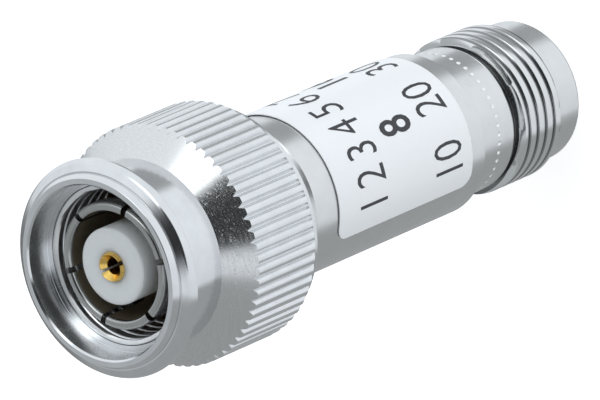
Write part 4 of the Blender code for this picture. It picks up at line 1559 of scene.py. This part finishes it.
@dataclass(frozen=True)
class Studio:
    """The floor, the soft light round the object and the camera."""

    focal_pixels: float = 9800.0
    image_width: int = 600
    sensor: float = 36.0
    view_end: float = 10.0
    right: Direction = (-0.3965, -0.6654, -0.6325)
    down: Direction = (-0.9180, 0.2874, 0.2732)
    forward: Direction = (0.0, 0.6890, -0.7248)
    mouth_in_view: Direction = (-13.31 * MM, 4.824 * MM, 643.2 * MM)
    up: Direction = (0.839, -0.545, 0.0)
    horizon: float = -0.375
    horizon_softness: float = 0.05
    sky_range: Point = (-0.3, 0.5)
    sky: Colour = (0.98, 1.03, 1.07)
    low_sky: Colour = (0.84, 0.885, 0.925)
    ground: Colour = (0.385, 0.40, 0.405)
    background: Colour = (1.0, 1.0, 1.0)
    floor_gap: float = 0.02 * MM
    floor_radius: float = 1.2
    floor_segments: int = 96
    floor_colour: tuple[float, ...] = (0.9, 0.9, 0.9, 1.0)
    floor_light: tuple[float, ...] = (1.0, 1.0, 1.0, 1.0)
    floor_roughness: float = 0.9
    floor_glow: float = 0.6
    cards: tuple[Card, ...] = (
        Card((0.689, -0.024, -0.725), 17.0, 5.0, (0.40, 0.42, 0.43)),
        Card((0.571, -0.301, 0.763), 13.0, 5.0, (2.3, 2.4, 2.45)),
        Card((0.03, 0.03, 0.998), 18.0, 5.0, (0.04, 0.042, 0.045)),
        Card((0.03, -0.52, 0.853), 22.5, 2.5, (0.035, 0.036, 0.038)),
        Card((0.0, 0.689, 0.725), 30.0, 12.0, (0.50, 0.53, 0.55)),
        Card((0.05, 0.17, -0.985), 26.0, 8.0, (0.05, 0.05, 0.055)),
        Card((0.1, 0.97, -0.2), 20.0, 8.0, (0.22, 0.225, 0.225)),
    )

    def build(self) -> None:
        """Sets up the floor, the light and the camera."""
        self._floor()
        self._light()
        self._camera()

    def _camera(self) -> None:
        """Places the camera where the view of the mouth's middle asks for it."""
        right, down, forward = Vector(self.right), Vector(self.down), Vector(self.forward)
        mouth = Vector((0, 0, extent("coupling_nut")[2]))
        across, below, away = self.mouth_in_view
        place = mouth - (right * across + down * below + forward * away)
        data = bpy.data.cameras.new("camera")
        data.sensor_width = self.sensor
        data.lens = self.focal_pixels / self.image_width * self.sensor
        data.clip_end = self.view_end
        camera = add_object("camera", data)
        turned = Matrix((right, -down, -forward)).transposed()
        camera.matrix_world = Matrix.Translation(place) @ turned.to_4x4()
        bpy.context.scene.camera = camera

    def _floor(self) -> None:
        """Lays a pale floor. It doesn't darken the soft light that comes from all sides."""
        mesh = bpy.data.meshes.new("floor")
        shape = bmesh.new()
        size = {"segments": self.floor_segments, "radius": self.floor_radius}
        bmesh.ops.create_circle(shape, cap_ends=True, **size)
        bmesh.ops.translate(shape, verts=shape.verts, vec=(0, 0, -self.floor_gap))
        shape.to_mesh(mesh)
        shape.free()
        pale = MaterialNodes("pale_floor")
        pale.fix(Base_Color=self.floor_colour, Roughness=self.floor_roughness)
        pale.fix(Emission_Color=self.floor_light, Emission_Strength=self.floor_glow)
        floor = add_object("floor", mesh, pale.material)
        floor.visible_glossy = False
        floor.visible_shadow = False
        floor.visible_diffuse = False

    def _light(self) -> None:
        """Surrounds the object with soft light: pale above, grey below, and cards."""
        world = bpy.data.worlds.new("studio")
        bpy.context.scene.world = world
        world.use_nodes = True
        tree = world.node_tree
        direction = add_node(tree, "ShaderNodeTexCoord", {}, "Generated")

        def turned_to(axis: Direction, low: float, high: float) -> Socket:
            """Measures how far the direction is turned to an axis.

            Args:
                axis: The axis.
                low: The cosine of the angle at which the value is 0.
                high: The cosine of the angle at which it is 1.

            Returns:
                The value, which goes smoothly from 0 to 1.
            """
            pair = {0: direction, 1: Vector(axis).normalized()}
            dot = add_node(tree, "ShaderNodeVectorMath", pair, "Value", operation="DOT_PRODUCT")
            return map_range(tree, dot, (low, high), (0.0, 1.0), "SMOOTHSTEP")

        low, high = self.horizon - self.horizon_softness, self.horizon + self.horizon_softness
        sky = mix_colours(tree, turned_to(self.up, *self.sky_range), self.low_sky, self.sky)
        colour = mix_colours(tree, turned_to(self.up, low, high), self.ground, sky)
        for card in self.cards:
            inner = math.cos(math.radians(max(card.reach - card.softness, 0.0)))
            outer = math.cos(math.radians(card.reach + card.softness))
            colour = mix_colours(tree, turned_to(card.direction, outer, inner), colour, card.colour)
        seen = add_node(tree, "ShaderNodeLightPath", {}, "Is Camera Ray")
        colour = mix_colours(tree, seen, colour, self.background)
        tree.links.new(colour, tree.nodes["Background"].inputs["Color"])


def main() -> None:
    """Builds every sub-assembly in order."""
    logging.basicConfig(level=logging.INFO, format="%(message)s")
    bpy.context.scene.view_settings.view_transform = "Standard"
    palette = Palette()
    array = RadialArray()
    sub_assemblies = (
        CouplingNut(palette, array),
        PlugInterior(palette, array),
        Housing(palette),
        RatingLabel(palette),
        Jack(palette, array),
    )
    for sub_assembly in sub_assemblies:
        for piece in sub_assembly.build():
            triangles = sum(len(face.vertices) - 2 for face in piece.data.polygons)
            LOG.info("made %s: %d triangles", piece.name, triangles)
    for name in palette.dress_kept_solids():
        LOG.info("dressed %s", name)
    Studio().build()


if __name__ == "__main__":
    main()
